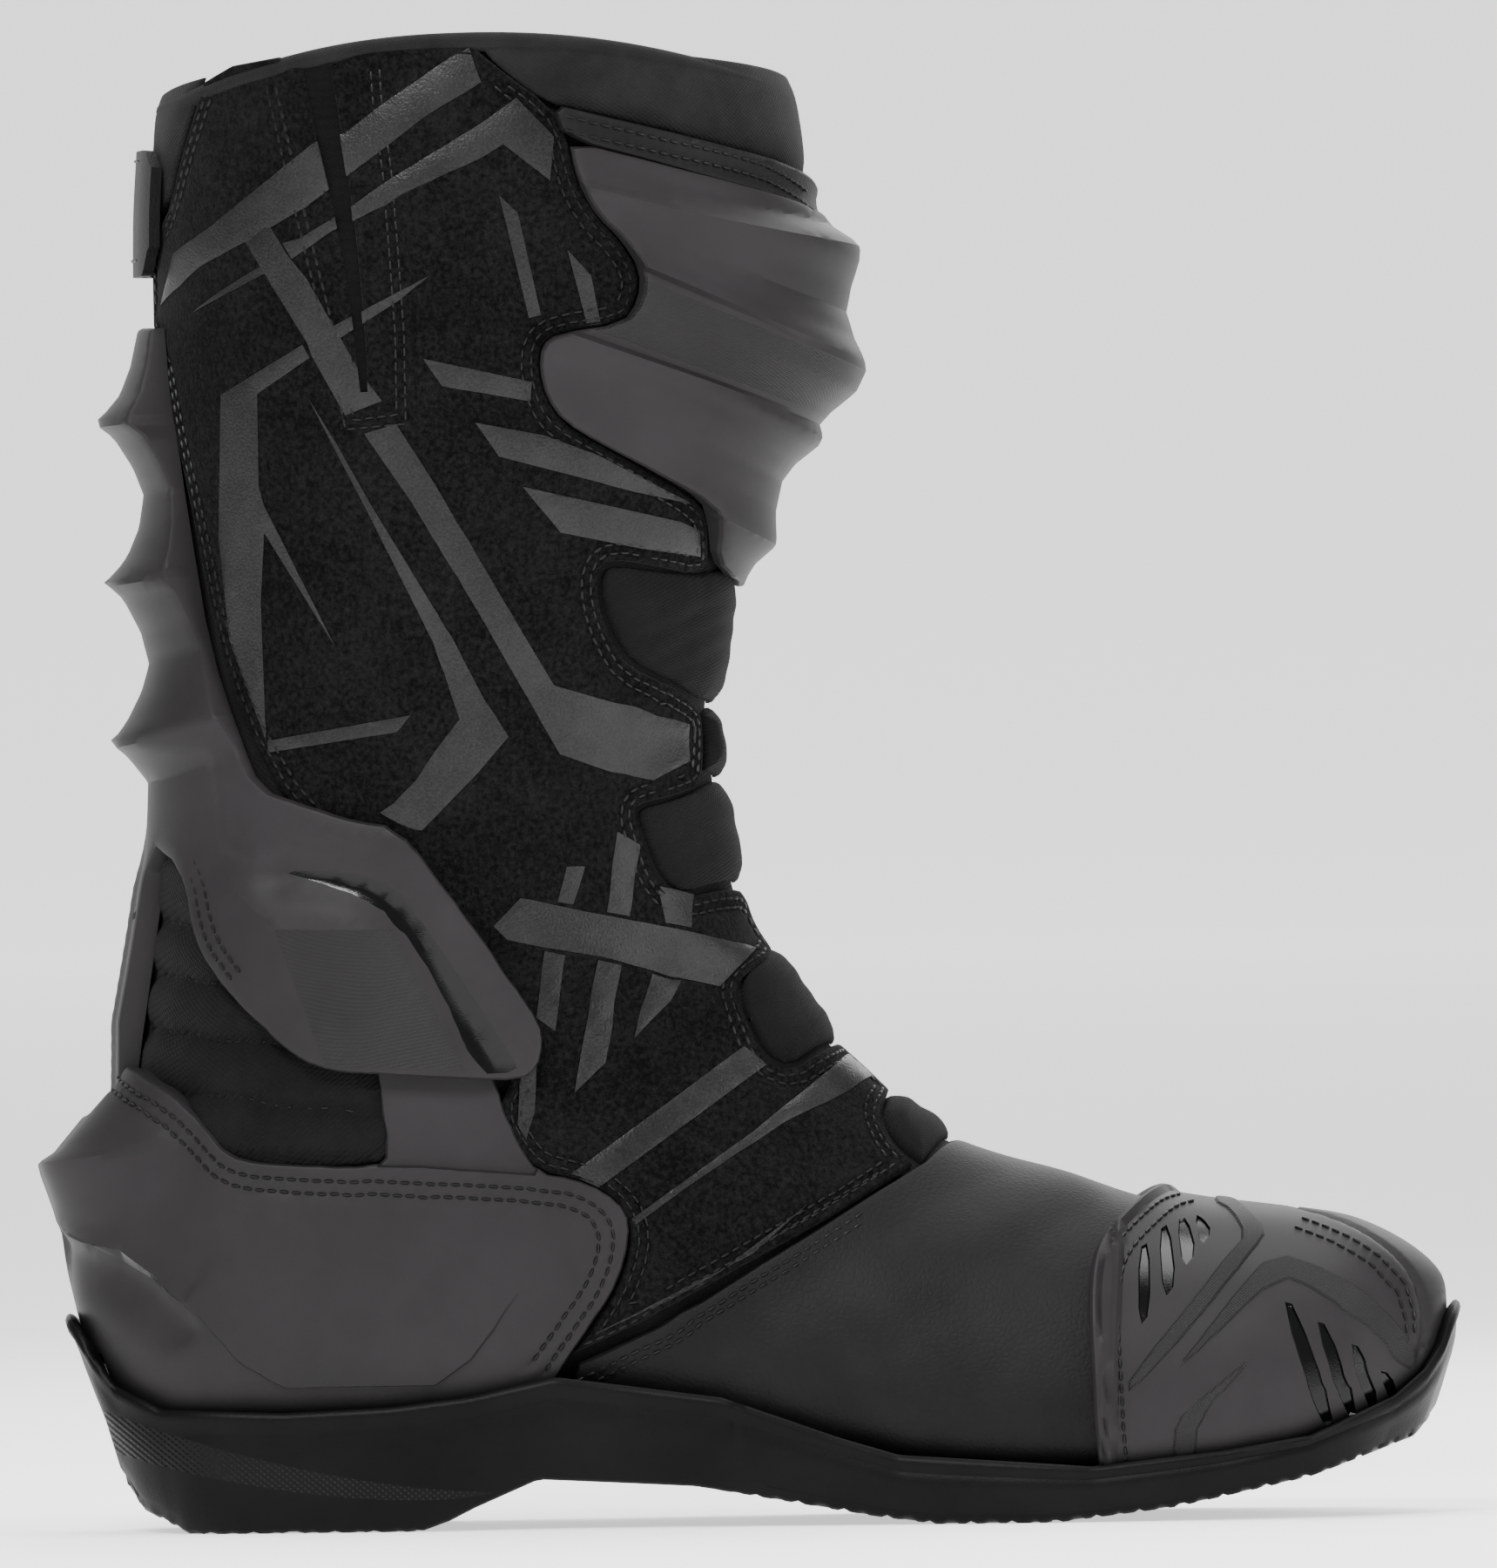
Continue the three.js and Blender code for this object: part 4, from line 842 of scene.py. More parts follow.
SUEDE = suede()
PRINT = printed()
GUARD = moulded("guard_matt", (0.0145, 0.0135, 0.0142), 0.52, shine=0.12)
GUARD_GRID = moulded("guard_grid", (0.0125, 0.0118, 0.0124), 0.5, grid=1.5, shine=0.12)
GLOSS = moulded("guard_gloss", (0.0016, 0.0016, 0.0018), 0.1, shine=0.2)
MICRO = grained("microfibre_grain", (0.0046, 0.0044, 0.0046), 0.56)
STRETCH = knitted("stretch_rib", (0.0042, 0.0041, 0.0042), 0.9, ribs=2.2, sheen=0.02)
GUSSET = knitted("gusset_rib", (0.002, 0.002, 0.0022), 0.8, sheen=0.01)
KNIT = knitted("lining_knit", (0.0082, 0.008, 0.0083), 0.9, sheen=0.03)
RUBBER = rubber()
THREAD = plain("thread", (0.0024, 0.0024, 0.0025), 0.45, shine=0.2)
STEEL = plain("steel", (0.42, 0.42, 0.43), 0.32, 1.0)
ZIP = plain("zip_plastic", (0.018, 0.018, 0.02), 0.4)
BOARD = plain("fibreboard", (0.25, 0.21, 0.17), 0.85)
VELCRO = knitted("hook_and_loop", (0.014, 0.014, 0.015), 0.7, rough=0.95)

# ---- Placing helpers ----

ANKLE_START = (-0.030, 0, 0.070)
ANKLE_END = (-0.075, 0, 0.165)


def bends(ob, start=ANKLE_START, end=ANKLE_END):
    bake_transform(ob)


def use(ob, body, slot, *nodes):
    if ob is None:
        return None
    if body == "ankle":
        bends(ob)
    elif isinstance(body, tuple):
        bends(ob, *body)
    else:
        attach(ob, body)
    if nodes:
        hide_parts(*nodes)
    return ob


SIDES = (("medial", 1), ("lateral", -1))

# ---- Reliefs shared with the CAD ----

HEEL_REAR = [(20, 3), (38, 6), (53, 9.5), (63, 12.5), (69, 15.5), (74, 19), (76, 20), (79, 17), (87, 13),
    (93, 10), (100, 6.5)]


def heel_outer(s, phi):
    z = base(s, np.full_like(s, PI))[..., 2]
    fade = 1 - smooth(from_back(phi), rad(8), rad(50))
    return 2.9 + (table(HEEL_REAR, z) - 2.9) * fade


def ring_line(z, half):
    """A line round the back at one slice, named by its height on the back line."""
    s = float(np.interp(z, SLICES[BACK_FROM:, 3], np.arange(BACK_FROM, LAST + 1)))
    phi = PI + rad(np.linspace(-half, half, 60))
    return to_plane(np.stack([np.full_like(phi, s), phi], 1))


SPINE_REAR = [
    (120, 3.4), (148, 4.6), (157, 4.8), (163, 4.9), (168, 9), (171.5, 12.4), (173, 12), (177, 9.4),
    (183, 6.4), (189, 4.6),
    (196, 6.2), (203, 9.6), (207, 12.6), (208.5, 12), (213, 8.4), (219, 5.6), (226, 4.2), (232, 6.2),
    (238, 9.6),
    (242, 13), (243.5, 12.4), (248, 8.2), (254, 5.6), (262, 3.6),
]
STRUT_OUTER = [(80, 4.8), (88, 5), (93, 6.2), (110, 8), (124, 7), (152, 5)]
STRUT_INNER = [(80, 2.6), (93, 2.6), (108, 2.4), (124, 1.8), (152, 0.6)]
ARM = (4.1, 6.9)

SHIN_FRONT = [
    (203, 3), (207, 3.4), (210, 4.2), (215, 7.2), (216.5, 6.9), (222, 4.6), (228, 3.4), (232, 4.6),
    (237, 8.2), (239, 8.4), (241, 7),
    (244, 8.6), (249, 12.8), (253, 14), (255, 13.4), (259, 10.4), (264, 8.2), (269, 9), (274, 11),
    (276.5, 11.4), (278, 10.4), (282, 5.2),
    (286, 4.3), (292, 3.4), (300, 3),
]
SHIN_SIDE = [
    (200, 2.0), (214.4, 2.1), (215.4, 4.4), (219, 3.5), (235, 3.2), (239.2, 4.9), (241, 5.3),
    (241.7, 2.2), (244, 2.0), (253, 2.0),
    (253.7, 2.1), (254.6, 5.0), (258, 4.4), (273.4, 4.4), (276.8, 5.3), (278.4, 3.0), (283, 2.5),
    (300, 2.4),
]
SHIN_SLOPE = [(203, 0.45), (216, 0.42), (240, 0.33), (254, 0.5), (268, 0.42), (277, 0.28), (300, 0.26)]


def shin_level(s, p):
    """The height on the front line of the ridge line that passes through each point."""
    run = base(s, np.zeros_like(s))[..., 0] - p[..., 0]
    level = p[..., 2] - 0.32 * run
    for _ in range(5):
        level = p[..., 2] - table(SHIN_SLOPE, level) * run
    return level


# ---- Sole ----

SOLE_TOP = [
    (-150, 49), (-147, 45), (-143, 38.5), (-138, 32), (-128, 27), (-101, 26), (-78, 27), (-61, 29),
    (-42, 33), (-6, 28),
    (19, 19), (32, 15), (74, 12), (102, 15), (121, 18), (140, 26), (147, 31.5), (151, 37), (153.5, 43),
    (155, 46),
]
SOLE_BOTTOM = [
    (-135, 10), (-132, 5), (-122, 0), (-72, 0), (-66, 2), (-60, 5), (-46, 11), (-12, 9), (26, 2), (40, 0),
    (66, 0),
    (92, 3), (121, 9), (144, 17), (149, 22),
]
CUP_GAP = 1.3
SOLE_GAP = 3.1
LIP = 2.4


def sole_edge(s, side):
    stand = lambda phi: np.maximum(SOLE_GAP, np.where(s > 11, heel_outer(s, phi) + CUP_GAP, 0)) + LIP
    lo, hi = np.full_like(s, rad(40)), np.full_like(s, PI)
    for _ in range(30):
        mid = (lo + hi) / 2
        p = surf(s, side * mid, stand(side * mid))
        up = p[:, 2] > table(SOLE_TOP, p[:, 0])
        lo = np.where(up, mid, lo)
        hi = np.where(up, hi, mid)
    return surf(s, side * hi, stand(side * hi))


def sole_end():
    lo, hi = 14.0, 19.0
    for _ in range(30):
        mid = np.array([(lo + hi) / 2])
        p = surf(mid, np.array([PI]), heel_outer(mid, np.array([PI])) + LIP)[0]
        lo, hi = (lo, float(mid[0])) if p[2] > table(SOLE_TOP, p[0]) else (float(mid[0]), hi)
    return lo


def build_sole():
    n = 260
    share = np.linspace(0, 1, n + 1)
    s = sole_end() * (1 - share) ** 0.9
    sides = {k: sole_edge(s, k) for k in (1, -1)}
    middle = slice_at(s)[:, 6]
    for k in (1, -1):
        sides[k][[0, -1], 1] = middle[[0, -1]]
    for i in (0, -1):
        both = (sides[1][i] + sides[-1][i]) / 2
        sides[1][i] = sides[-1][i] = both
    centre = (sides[1] + sides[-1]) / 2
    centre[:, 1] = middle
    ring = np.vstack([sides[1], sides[-1][::-1][1:-1]])
    kinds = np.concatenate([np.arange(n + 1), np.arange(n + 1)[::-1][1:-1]])
    ahead, behind = np.roll(ring, -6, 0), np.roll(ring, 6, 0)
    t = unit((ahead - behind) * [1, 1, 0])
    out = np.stack([t[:, 1], -t[:, 0], np.zeros(len(t))], 1)
    core_line = centre[kinds]
    away = ring - np.stack([np.clip(core_line[:, 0], -112, 112), core_line[:, 1], core_line[:, 2]], 1)
    flip = np.sign((out * away).sum(1))
    out *= np.where(flip == 0, 1, flip)[:, None]
    out[0], out[n] = (-1, 0, 0), (1, 0, 0)
    x = ring[:, 0]
    heel, toe = 1 - smooth(x, -150, -112), smooth(x, 108, 152)
    rear = heel * np.maximum(0, -out[:, 0])
    tuck = 3.2 + 5.5 * heel + 6.5 * rear + 4.5 * toe
    foot_x = np.clip(x - out[:, 0] * tuck, -135, 149)
    low = table(SOLE_BOTTOM, foot_x)
    z = ring[:, 2]
    # profile rows: share of the way down, how far in, extra height
    rows = [
        (0.0, 5.5, -6.0), (0.0, 2.6, -1.2), (0.0, 1.6, 0.0), (0.0, 0.8, 0.2), (0.0, 0.15, -0.4),
        (0.0, -0.1, -1.4), (0.0, 0.2, -2.6),
        (0.05, 0.75, -2.8), (0.12, 0.6, -2.4), (0.25, 0.4, -1.6), (0.4, 0.5, -0.8), (0.55, 0.8, 0.0),
        (0.7, 1.2, 0.0), (0.85, 1.7, 0.0),
    ]
    layers = []
    for down, inward, lift in rows:
        p = ring.copy()
        amount = inward + (tuck - 3.2) * down ** (1.3 - 0.45 * rear)
        p -= out * amount[:, None]
        p[:, 2] = z + (low - z) * down + lift * np.clip((z - low) / 14, 0.35, 1)
        layers.append(p)
    notch = 0.55 * (np.sin(x * 2 * PI / 4.6) > 0.3) * (smooth(x, -12, 8) + (1 - smooth(x, -72, -66)) * 0.7)
    for inward, lift in ((2.0, 2.6), (2.6, 0.7), (3.6, 0.0)):
        p = ring - out * (inward + tuck - 3.2)[:, None]
        p[:, 2] = low + lift + notch * (lift < 2)
        layers.append(p)
    for k, share_in in enumerate((0.86, 0.8, 0.45, 0.4, 0.08, 0.0)):
        edge = layers[len(rows) + 2]
        mid = centre[kinds].copy()
        mid[:, 0] = np.clip(mid[:, 0], -134, 148)
        p = mid + (edge - mid) * share_in
        if share_in == 0:
            p[:, 0] = mid[:, 0]
        low_here = table(SOLE_BOTTOM, np.clip(p[:, 0], -135, 149))
        lugs = 1.3 * (np.sin(p[:, 0] * 2 * PI / 9.2 + (2.2 if k in (2, 3) else 0)) > 0.45)
        heel_break = (p[:, 0] > -70) & (p[:, 0] < -4)
        p[:, 2] = low_here + np.where(heel_break | (share_in == 0), 0, lugs)
        layers.append(p)
    count = len(ring)
    verts = np.vstack(layers)
    faces = []
    for a in range(len(layers) - 1):
        for i in range(count):
            k = (i + 1) % count
            faces.append((a * count + i, a * count + k, (a + 1) * count + k, (a + 1) * count + i))
    # inner pan
    pan = layers[0].copy()
    faces_top = []
    m = len(verts)
    core = centre[kinds].copy()
    core[:, 2] = np.maximum(low + 2.0, np.minimum(z - 8, low + 4.0))
    core[:, 1] = centre[kinds][:, 1] + (pan[:, 1] - centre[kinds][:, 1]) * 0.8
    core[:, 0] = pan[:, 0] - out[:, 0] * (tuck - 3.2)
    flat = core.copy()
    flat[:, 1] = middle[kinds]
    verts = np.vstack([verts, core, flat])
    for i in range(count):
        k = (i + 1) % count
        faces_top.append((k, i, m + i, m + k))
        faces_top.append((m + k, m + i, m + count + i, m + count + k))
    uv = np.vstack([np.stack([v[:, 0], v[:, 2]], 1) for v in np.split(verts, len(verts) // count)])
    ob = make("outsole_moulding", verts, faces + faces_top, RUBBER, uv, smooth_angle=40)
    weld(ob, 1e-6)
    outward(ob)
    return use(ob, "foot", "rubber", "outsole")


build_sole()

# ---- Foot ----


def foot_parts():
    low_vamp = [(88, 10), (60, 9.5), (38, 11), (14, 17), (-10, 24), (-38, 30)]
    seam = [(-37, 35.5), (-23, 42), (-10, 49), (3, 57), (15, 64), (28, 72), (39, 78.5)]
    loop = outline([front(66.4, 0), (96, 60), (90, 40), (88, 22)] + low_vamp + seam + [front(82.6, 0)],
        toward=0, rounds=0)
    pan = Panel(loop, 1.7)
    fold = outline_line([(70, 73), (52, 66), (30, 50), (8, 38)])
    soft = 0.35 * np.sin(pan.p[:, 0] / 9.0) * smooth(pan.p[:, 2], 40, 75)
    top = 0.2 + 0.7 * bump_at(pan.near(fold), 12) + soft
    use(pan.build("vamp_skin", MICRO, top, -1.4), "foot", "microfibre", "vamp")
    seams = [to_plane(place([(x - 1.0, z - dz) for x, z in seam[:-1]])) for dz in (3.4, 5.4)]
    both = seams + [mirror(line, 0) for line in seams]
    use(stitches("vamp_stitches", both, lambda s, p: np.full(len(s), 0.35), THREAD), "foot", "microfibre")


def outline_line(points, side=1, rounds=1):
    return to_plane(place(split(rounded(points, rounds)), side))


def mirror(line, toward):
    out = line.copy()
    out[:, 0] = 2 * toward * AROUND - out[:, 0]
    return out


def toe_cap():
    rear = [front(69.3, 0), (91, 69), (86.5, 68.2), (82, 65), (77, 60.5), (74.5, 56), (73.5, 47),
        (74, 34), (74.5, 20), (76, 9.5)]
    low = [(92, 10.5), (110, 13.5), (125, 18.5), (138, 25), (146, 33)]
    rear = rounded(rear, 2)
    sp = place(rear + low)
    sp[0, 1] = 0
    end = np.array([[0.0, rad(125)]])
    half = np.vstack([sp, end])
    other = half[::-1].copy()
    other[:, 1] *= -1
    loop = dense(to_plane(np.vstack([half, other[:-1]])), 1.5, closed=True)
    b1 = outline([(103, 67), (108, 65), (113, 60), (110, 56), (97, 42), (82, 27), (82, 31), (105, 56),
        (108, 59), (105, 64), (101, 66)])
    b2 = outline([(90, 30), (105, 47), (114, 56), (126, 52), (136, 45), (143, 36), (141, 31), (135, 39),
        (123, 48), (115, 51), (101, 39)])
    b3 = outline([(91, 15), (92, 22), (97, 26), (110, 36), (105, 30), (97, 22), (96, 15)])
    gills = [
        [(84.6, 57), (87, 58.5), (87, 44), (84.4, 41)], [(89, 60.5), (91.4, 62), (92.8, 50), (89.8, 46.5)],
        [(93, 62.6), (95.4, 63), (97.4, 56), (94.2, 52.5)], [(97, 63.6), (99, 62.6), (101, 60), (98.2, 57)],
        [(115.4, 46), (118.4, 45.2), (126.2, 22.4), (122.6, 21.6)],
        [(122.2, 42), (125, 41.2), (130.8, 24.3), (127.8, 23.6)],
        [(129, 37.5), (131.4, 36.8), (135, 25.3), (132.4, 24.6)],
        [(134.6, 32), (137.2, 31.4), (139.4, 26.9), (137.2, 26.2)],
    ]
    gloops = [outline(g) for g in gills]
    bands = both([b1, b2, b3], 0)
    gloops = both(gloops, 0)
    zones = [(z, 0, 1) for z in bands] + [(g, 0, 2) for g in gloops]
    seam = outline_line([(118, 64.5), (127, 62.5), (135, 58.5), (141, 53.5), (144, 48), (144.6, 41),
        (143.6, 35)])
    lines = both([seam], 0) + rim_lines(bands, 0.5) + rim_lines(gloops, 0.3)
    pan = Panel(loop, 1.5, lines, zones, rings=(0.4, 0.9, 1.4, 2.2, 2.9))
    rear_line = to_plane(place(rear))
    bead = pan.near(np.vstack([rear_line, mirror(rear_line, 0)[::-1]]))
    top = 2.6 + 1.3 * bump_at(bead - 1.2, 1.7)
    top = top + 0.5 * steps(pan, bands, 0.5) - 0.6 * steps(pan, gloops, 0.3)
    for line in (seam, mirror(seam, 0)):
        top = top - 0.8 * bump_at(pan.near(line), 1.6)
    use(pan.build("toe_cap_shell", GUARD, top, 0.9, mats=[GUARD, GUARD_GRID, GLOSS], tip=True), "foot",
        "guard", "toe_cap")
    rows = []
    for gap in (3.4, 6.4):
        line = to_plane(place([(x + gap, z - gap * 0.45) for x, z in rear[2:-1]]))
        rows += [line, mirror(line, 0)]
        near = to_plane(place([(x - gap * 0.55, z - gap * 0.55) for x,
            z in [(122, 64), (131, 60.5), (138, 56), (142.6, 51), (144.3, 45), (144.3, 39)]]))
        rows += [near, mirror(near, 0)]
    use(stitches("toe_cap_stitches", rows, 2.85, THREAD), "foot", "guard")


CUP_EDGE = [
    (-129.5, 98.5), (-122, 91.5), (-116.5, 84), (-112, 79), (-104, 77), (-68, 75.6), (-41, 73.4),
    (-34, 70.8), (-30, 67), (-28.8, 62),
    (-31, 54), (-36, 46), (-45.5, 34),
]
CUP_INNER = [
    (-129.5, 95.6), (-123.6, 89.6), (-118.4, 82.4), (-113, 76.4), (-104, 74.2), (-68, 72.8),
    (-42.5, 70.8), (-36, 68.6), (-33, 66),
    (-32, 61.6), (-34, 55), (-39, 47.4), (-48, 36),
]


def heel_cup():
    edge = [
        back(89, 0), back(90, 9), back(95, 13), (-128.5, 101), (-121.5, 95.5), (-116, 88.5),
        (-111.5, 82.2), (-104, 80.3), (-80, 79.3), (-77.3, 82),
        (-79.5, 99), (-80.5, 116.5), (-61.5, 117), (-54.5, 98), (-49.5, 84), (-45, 77.2), (-38, 76),
        (-31, 73), (-26.2, 68.5), (-25.6, 63),
        (-28, 54), (-33, 46), (-43, 33), (-46, 27), (-62, 23.5), (-100, 21), (-124, 22.6), (-133, 31),
        back(39, 14), back(38, 0),
    ]
    loop = outline(edge, toward=PI, rounds=1)
    zone = outline([(-121, 51), (-113, 42), (-106, 36), (-100, 33), (-68, 33), (-60, 38), (-55, 44),
        (-44, 60), (-52, 66), (-80, 68), (-112, 64)], rounds=0)
    upright = outline([(-79.8, 79.2), (-70, 78.9), (-46, 76.6), (-43, 82), (-50, 98), (-60, 120),
        (-83, 120), (-82, 98)], rounds=0)
    ridge = [(-154, 74.5), (-147, 71), (-137, 66.2), (-131, 61.6), (-121, 50.5)]
    under = outline(ridge + [(-116, 44), (-126, 37), (-142, 40), (-153, 56), (-156, 68)], rounds=0)
    flash = outline([(-138, 66.8), (-131, 61.6), (-121, 50.5), (-127.4, 56), (-134, 62.4)], rounds=0,
        step=1.0)
    path = outline_line(CUP_EDGE)
    inner = outline_line(CUP_INNER)
    ups, zones_in, unders = both([upright], PI), both([zone], PI), both([under], PI)
    zones = [(z, 0, 0) for z in ups + unders + zones_in] + [(f, 0, 2) for f in both([flash], PI)]
    lines = rim_lines(ups, 0.5) + rim_lines(zones_in, 0.5) + both([path, inner], PI)
    pan = Panel(loop, 1.6, lines, zones)
    top = heel_outer(pan.s, pan.phi) - 1.5 * steps(pan, ups, 0.5) + 0.7 * steps(pan, zones_in,
        0.5) * (1 - smooth(pan.p[:, 2], 42, 62))
    crest = outline_line(ridge, rounds=0)
    fall = np.minimum(pan.near(crest), pan.near(mirror(crest, PI)))
    top = top - 1.7 * steps(pan, unders, 2.4) * (1 - smooth(fall, 3, 15)) + 0.5 * np.maximum(0,
        1 - fall / 4)
    for line in both([path, inner], PI):
        top = top - 0.4 * bump_at(pan.near(line), 1.3)
    pocket = 1 - smooth(from_back(pan.phi), rad(14), rad(22))
    zb = base(pan.s, np.full_like(pan.s, PI))[:, 2]
    bottom = 0.5 + (np.maximum(0.5, heel_outer(pan.s, pan.phi) - 2.4) - 0.5) * pocket * smooth(zb, 54, 64)
    use(pan.build("heel_cup_shell", GUARD, top, bottom, mats=[GUARD, GUARD_GRID, GLOSS], edge_round=1.0),
        "foot", "guard", "heel_cup")
    rows = both([path, inner], PI)
    use(stitches("heel_cup_stitches", rows, lambda s, p: heel_outer(s, p) - 0.2, THREAD), "foot", "guard")


foot_parts()
toe_cap()
heel_cup()

# ---- Leg: calf guard, shin guard ----


def arm_level(s, phi, p):
    """The calf guard's outer face, without its strut."""
    zb = base(s, np.full_like(s, PI))[:, 2]
    angle = from_back(phi)
    spine = 3.0 + (table(SPINE_REAR, zb) - 3.0) * (1 - smooth(angle, rad(4), rad(66)))
    return spine + (ARM[1] - 3.0) * (1 - smooth(p[:, 2], 122, 158)) * smooth(angle, rad(16), rad(34))


def calf_guard():
    edge = [
        back(262, 0), (-123, 262), (-122, 246), (-120.5, 237), (-118, 218), (-114, 192), (-108, 173),
        (-103.5, 161.5), (-94, 158), (-84, 154.5),
        (-74.5, 153), (-66, 142), (-52, 120), (-45.5, 109.5), (-44.8, 105), (-46, 100), (-49.5, 97.4),
        (-61, 98), (-80, 99.5), (-92, 101), (-98, 105),
        (-106, 114), (-112, 122.5), (-115, 130), (-117, 141), (-120, 146), back(148, 16), back(143, 11),
        back(120, 10), back(88, 9), back(83, 6), back(82, 0),
    ]
    loop = outline(edge, toward=PI, rounds=1)
    groove = outline([(-99, 143.8), (-86.4, 143.6), (-77.3, 141.4), (-72.7, 137.4), (-51.4, 103),
        (-50, 99.2), (-58.6, 99), (-66.4, 119), (-75.5, 133.7), (-82.8, 138.3), (-92, 141.6)], rounds=1)
    valley = outline_line([(-98, 142.8), (-84, 140.8), (-76, 136.4), (-69.6, 128), (-54.6, 99.6)])
    grid = outline([(-99, 131), (-75.4, 131), (-61.6, 100.4), (-90, 101.4)], rounds=0)
    zones = [(g, 0, 1) for g in both([grid], PI)] + [(g, 0, 2) for g in both([groove], PI)]
    facet = outline_line([(-108, 140), (-99, 131), (-90, 101)], rounds=0)
    creases = [ring_line(z, 60) for z in (257, 242.8, 241, 226, 208, 206, 189, 172.4, 170.6, 163)]
    pan = Panel(loop, 1.5, creases + both([valley, facet], PI), zones)
    s, phi = pan.s, pan.phi
    zb = base(s, np.full_like(s, PI))[:, 2]
    angle = from_back(phi)
    z = pan.p[:, 2]
    arm = 1 - smooth(z, 122, 158)
    arm_top = arm_level(s, phi, pan.p)
    mix = (1 - smooth(zb, 138, 156)) * (1 - smooth(angle, rad(11), rad(20)))
    rib = 1.1 * bump_at(angle / rad(4.2), 1.0)
    top = arm_top * (1 - mix) + (table(STRUT_OUTER, zb) + rib) * mix
    bottom = (0.5 + (ARM[0] - 0.5) * arm * smooth(angle, rad(16), rad(34))) * (1
        - mix) + table(STRUT_INNER, zb) * mix
    for line in ([back(242, 0), back(240.5, 22), back(239, 38)],
            [back(207, 0), back(205, 25), back(203, 44)],
            [back(172, 0), back(170, 18), back(166, 40), (-109, 150), (-103, 146.5)]):
        c = to_plane(place(line))
        for cc in (c, mirror(c, PI)):
            top = top + 0.7 * bump_at(pan.near(cc), 2.2)
    dip = np.minimum(pan.near(valley), pan.near(mirror(valley, PI)))
    top = top - 1.9 * bump_at(dip, 7.0)
    for c in (facet, mirror(facet, PI)):
        top = top + 0.5 * np.maximum(0, 1 - pan.near(c) / 5)
    ridge = outline_line([(-74, 151), (-65, 140), (-46.5, 110)])
    for c in (ridge, mirror(ridge, PI)):
        top = top + 0.8 * bump_at(pan.near(c), 3.5)
    shell = pan.build("calf_guard_shell", GUARD, top, bottom, mats=[GUARD, GUARD_GRID, GLOSS],
        edge_round=1.0)
    use(shell, "leg", "guard", "calf_guard", "ankle_trim_medial", "ankle_trim_lateral")
    keep = lambda p: (p[:, 0] > -126) & (p[:, 0] < -104) & (p[:, 2] > 118) & (p[:, 2] < 152)
    rows = inset_lines(loop, 2.6, keep) + inset_lines(loop, 5.0, keep)
    off = lambda s, p: 3.3 + (ARM[1] - 3.0) * (1 - smooth(base(s, p)[:, 2], 122, 158))
    use(stitches("calf_guard_stitches", rows, off, THREAD), "leg", "guard")


def level_line(level):
    """The ridge line through one height on the front line."""
    phi = rad(np.linspace(-88, 88, 90))
    lo, hi = np.full_like(phi, 19.5), np.full_like(phi, 28.9)
    for _ in range(24):
        mid = (lo + hi) / 2
        above = shin_level(mid, base(mid, phi)) > level
        hi = np.where(above, mid, hi)
        lo = np.where(above, lo, mid)
    return to_plane(np.stack([lo, phi], 1))


def shin_guard():
    edge = [
        front(283.4, 0), (5, 289.4), (-14, 295), (-34.8, 300.6), (-34, 295), (-32, 289), (-29, 284),
        (-24, 279), (-20, 272.5), (-20.5, 266), (-24, 261), (-38, 259),
        (-41.5, 256.5), (-42, 251), (-40.5, 245), (-37, 240), (-29, 235), (-17, 228.5), (-8, 223),
        (-6.5, 218), (-6, 210), (-3, 206.5), front(204.5, 0),
    ]
    loop = outline(edge, toward=0, rounds=1)
    low, high = level_line(242.6), level_line(252.6)
    band = dense(np.vstack([low, high[::-1]]), 2.0, closed=True)
    zones = [(band, 0, 1)]
    ridges = [level_line(v) for v in (214.4, 215.4, 219, 239.6, 241, 241.7, 244, 253, 253.7, 254.6, 258,
        264, 274.6, 276.8, 278.4, 283)]
    pan = Panel(loop, 1.5, ridges, zones)
    level = shin_level(pan.s, pan.p)
    fade = 1 - smooth(np.abs(pan.phi), rad(10), rad(84))
    side = table(SHIN_SIDE, level)
    top = side + (table(SHIN_FRONT, level) - side) * fade
    use(pan.build("shin_guard_shell", GUARD, top, 0.5, mats=[GUARD, GUARD_GRID], edge_round=1.0,
        smooth_angle=24), "leg", "guard", "shin_guard")
    bind = outline([front(290.6, 0), (5, 297), (-14, 302.2), (-30, 306.2), (-38.6, 308.4), (-36.2, 301),
        (-14, 294.6), (5, 288.6), front(282.6, 0)], toward=0, rounds=1)
    pan = Panel(bind, 1.5)
    use(pan.build("shin_binding", MICRO, 3.3 - 0.5 * bump_at(pan.edge - 3.3, 2.2), 0.4, edge_round=1.2),
        "leg", "microfibre", "shin_binding_upper")
    rows = []
    for dz in (0, -3.0):
        line = to_plane(place([(-36.5, 305.8 + dz), (-30, 304 + dz), (-14, 300 + dz), (5, 294.8 + dz),
            front(288.4 + dz, 12)]))
        rows += [line, mirror(line, 0)]
    use(stitches("shin_stitches", rows, 3.2, THREAD), "leg", "microfibre")


calf_guard()
shin_guard()

# ---- Leg: soft panels ----

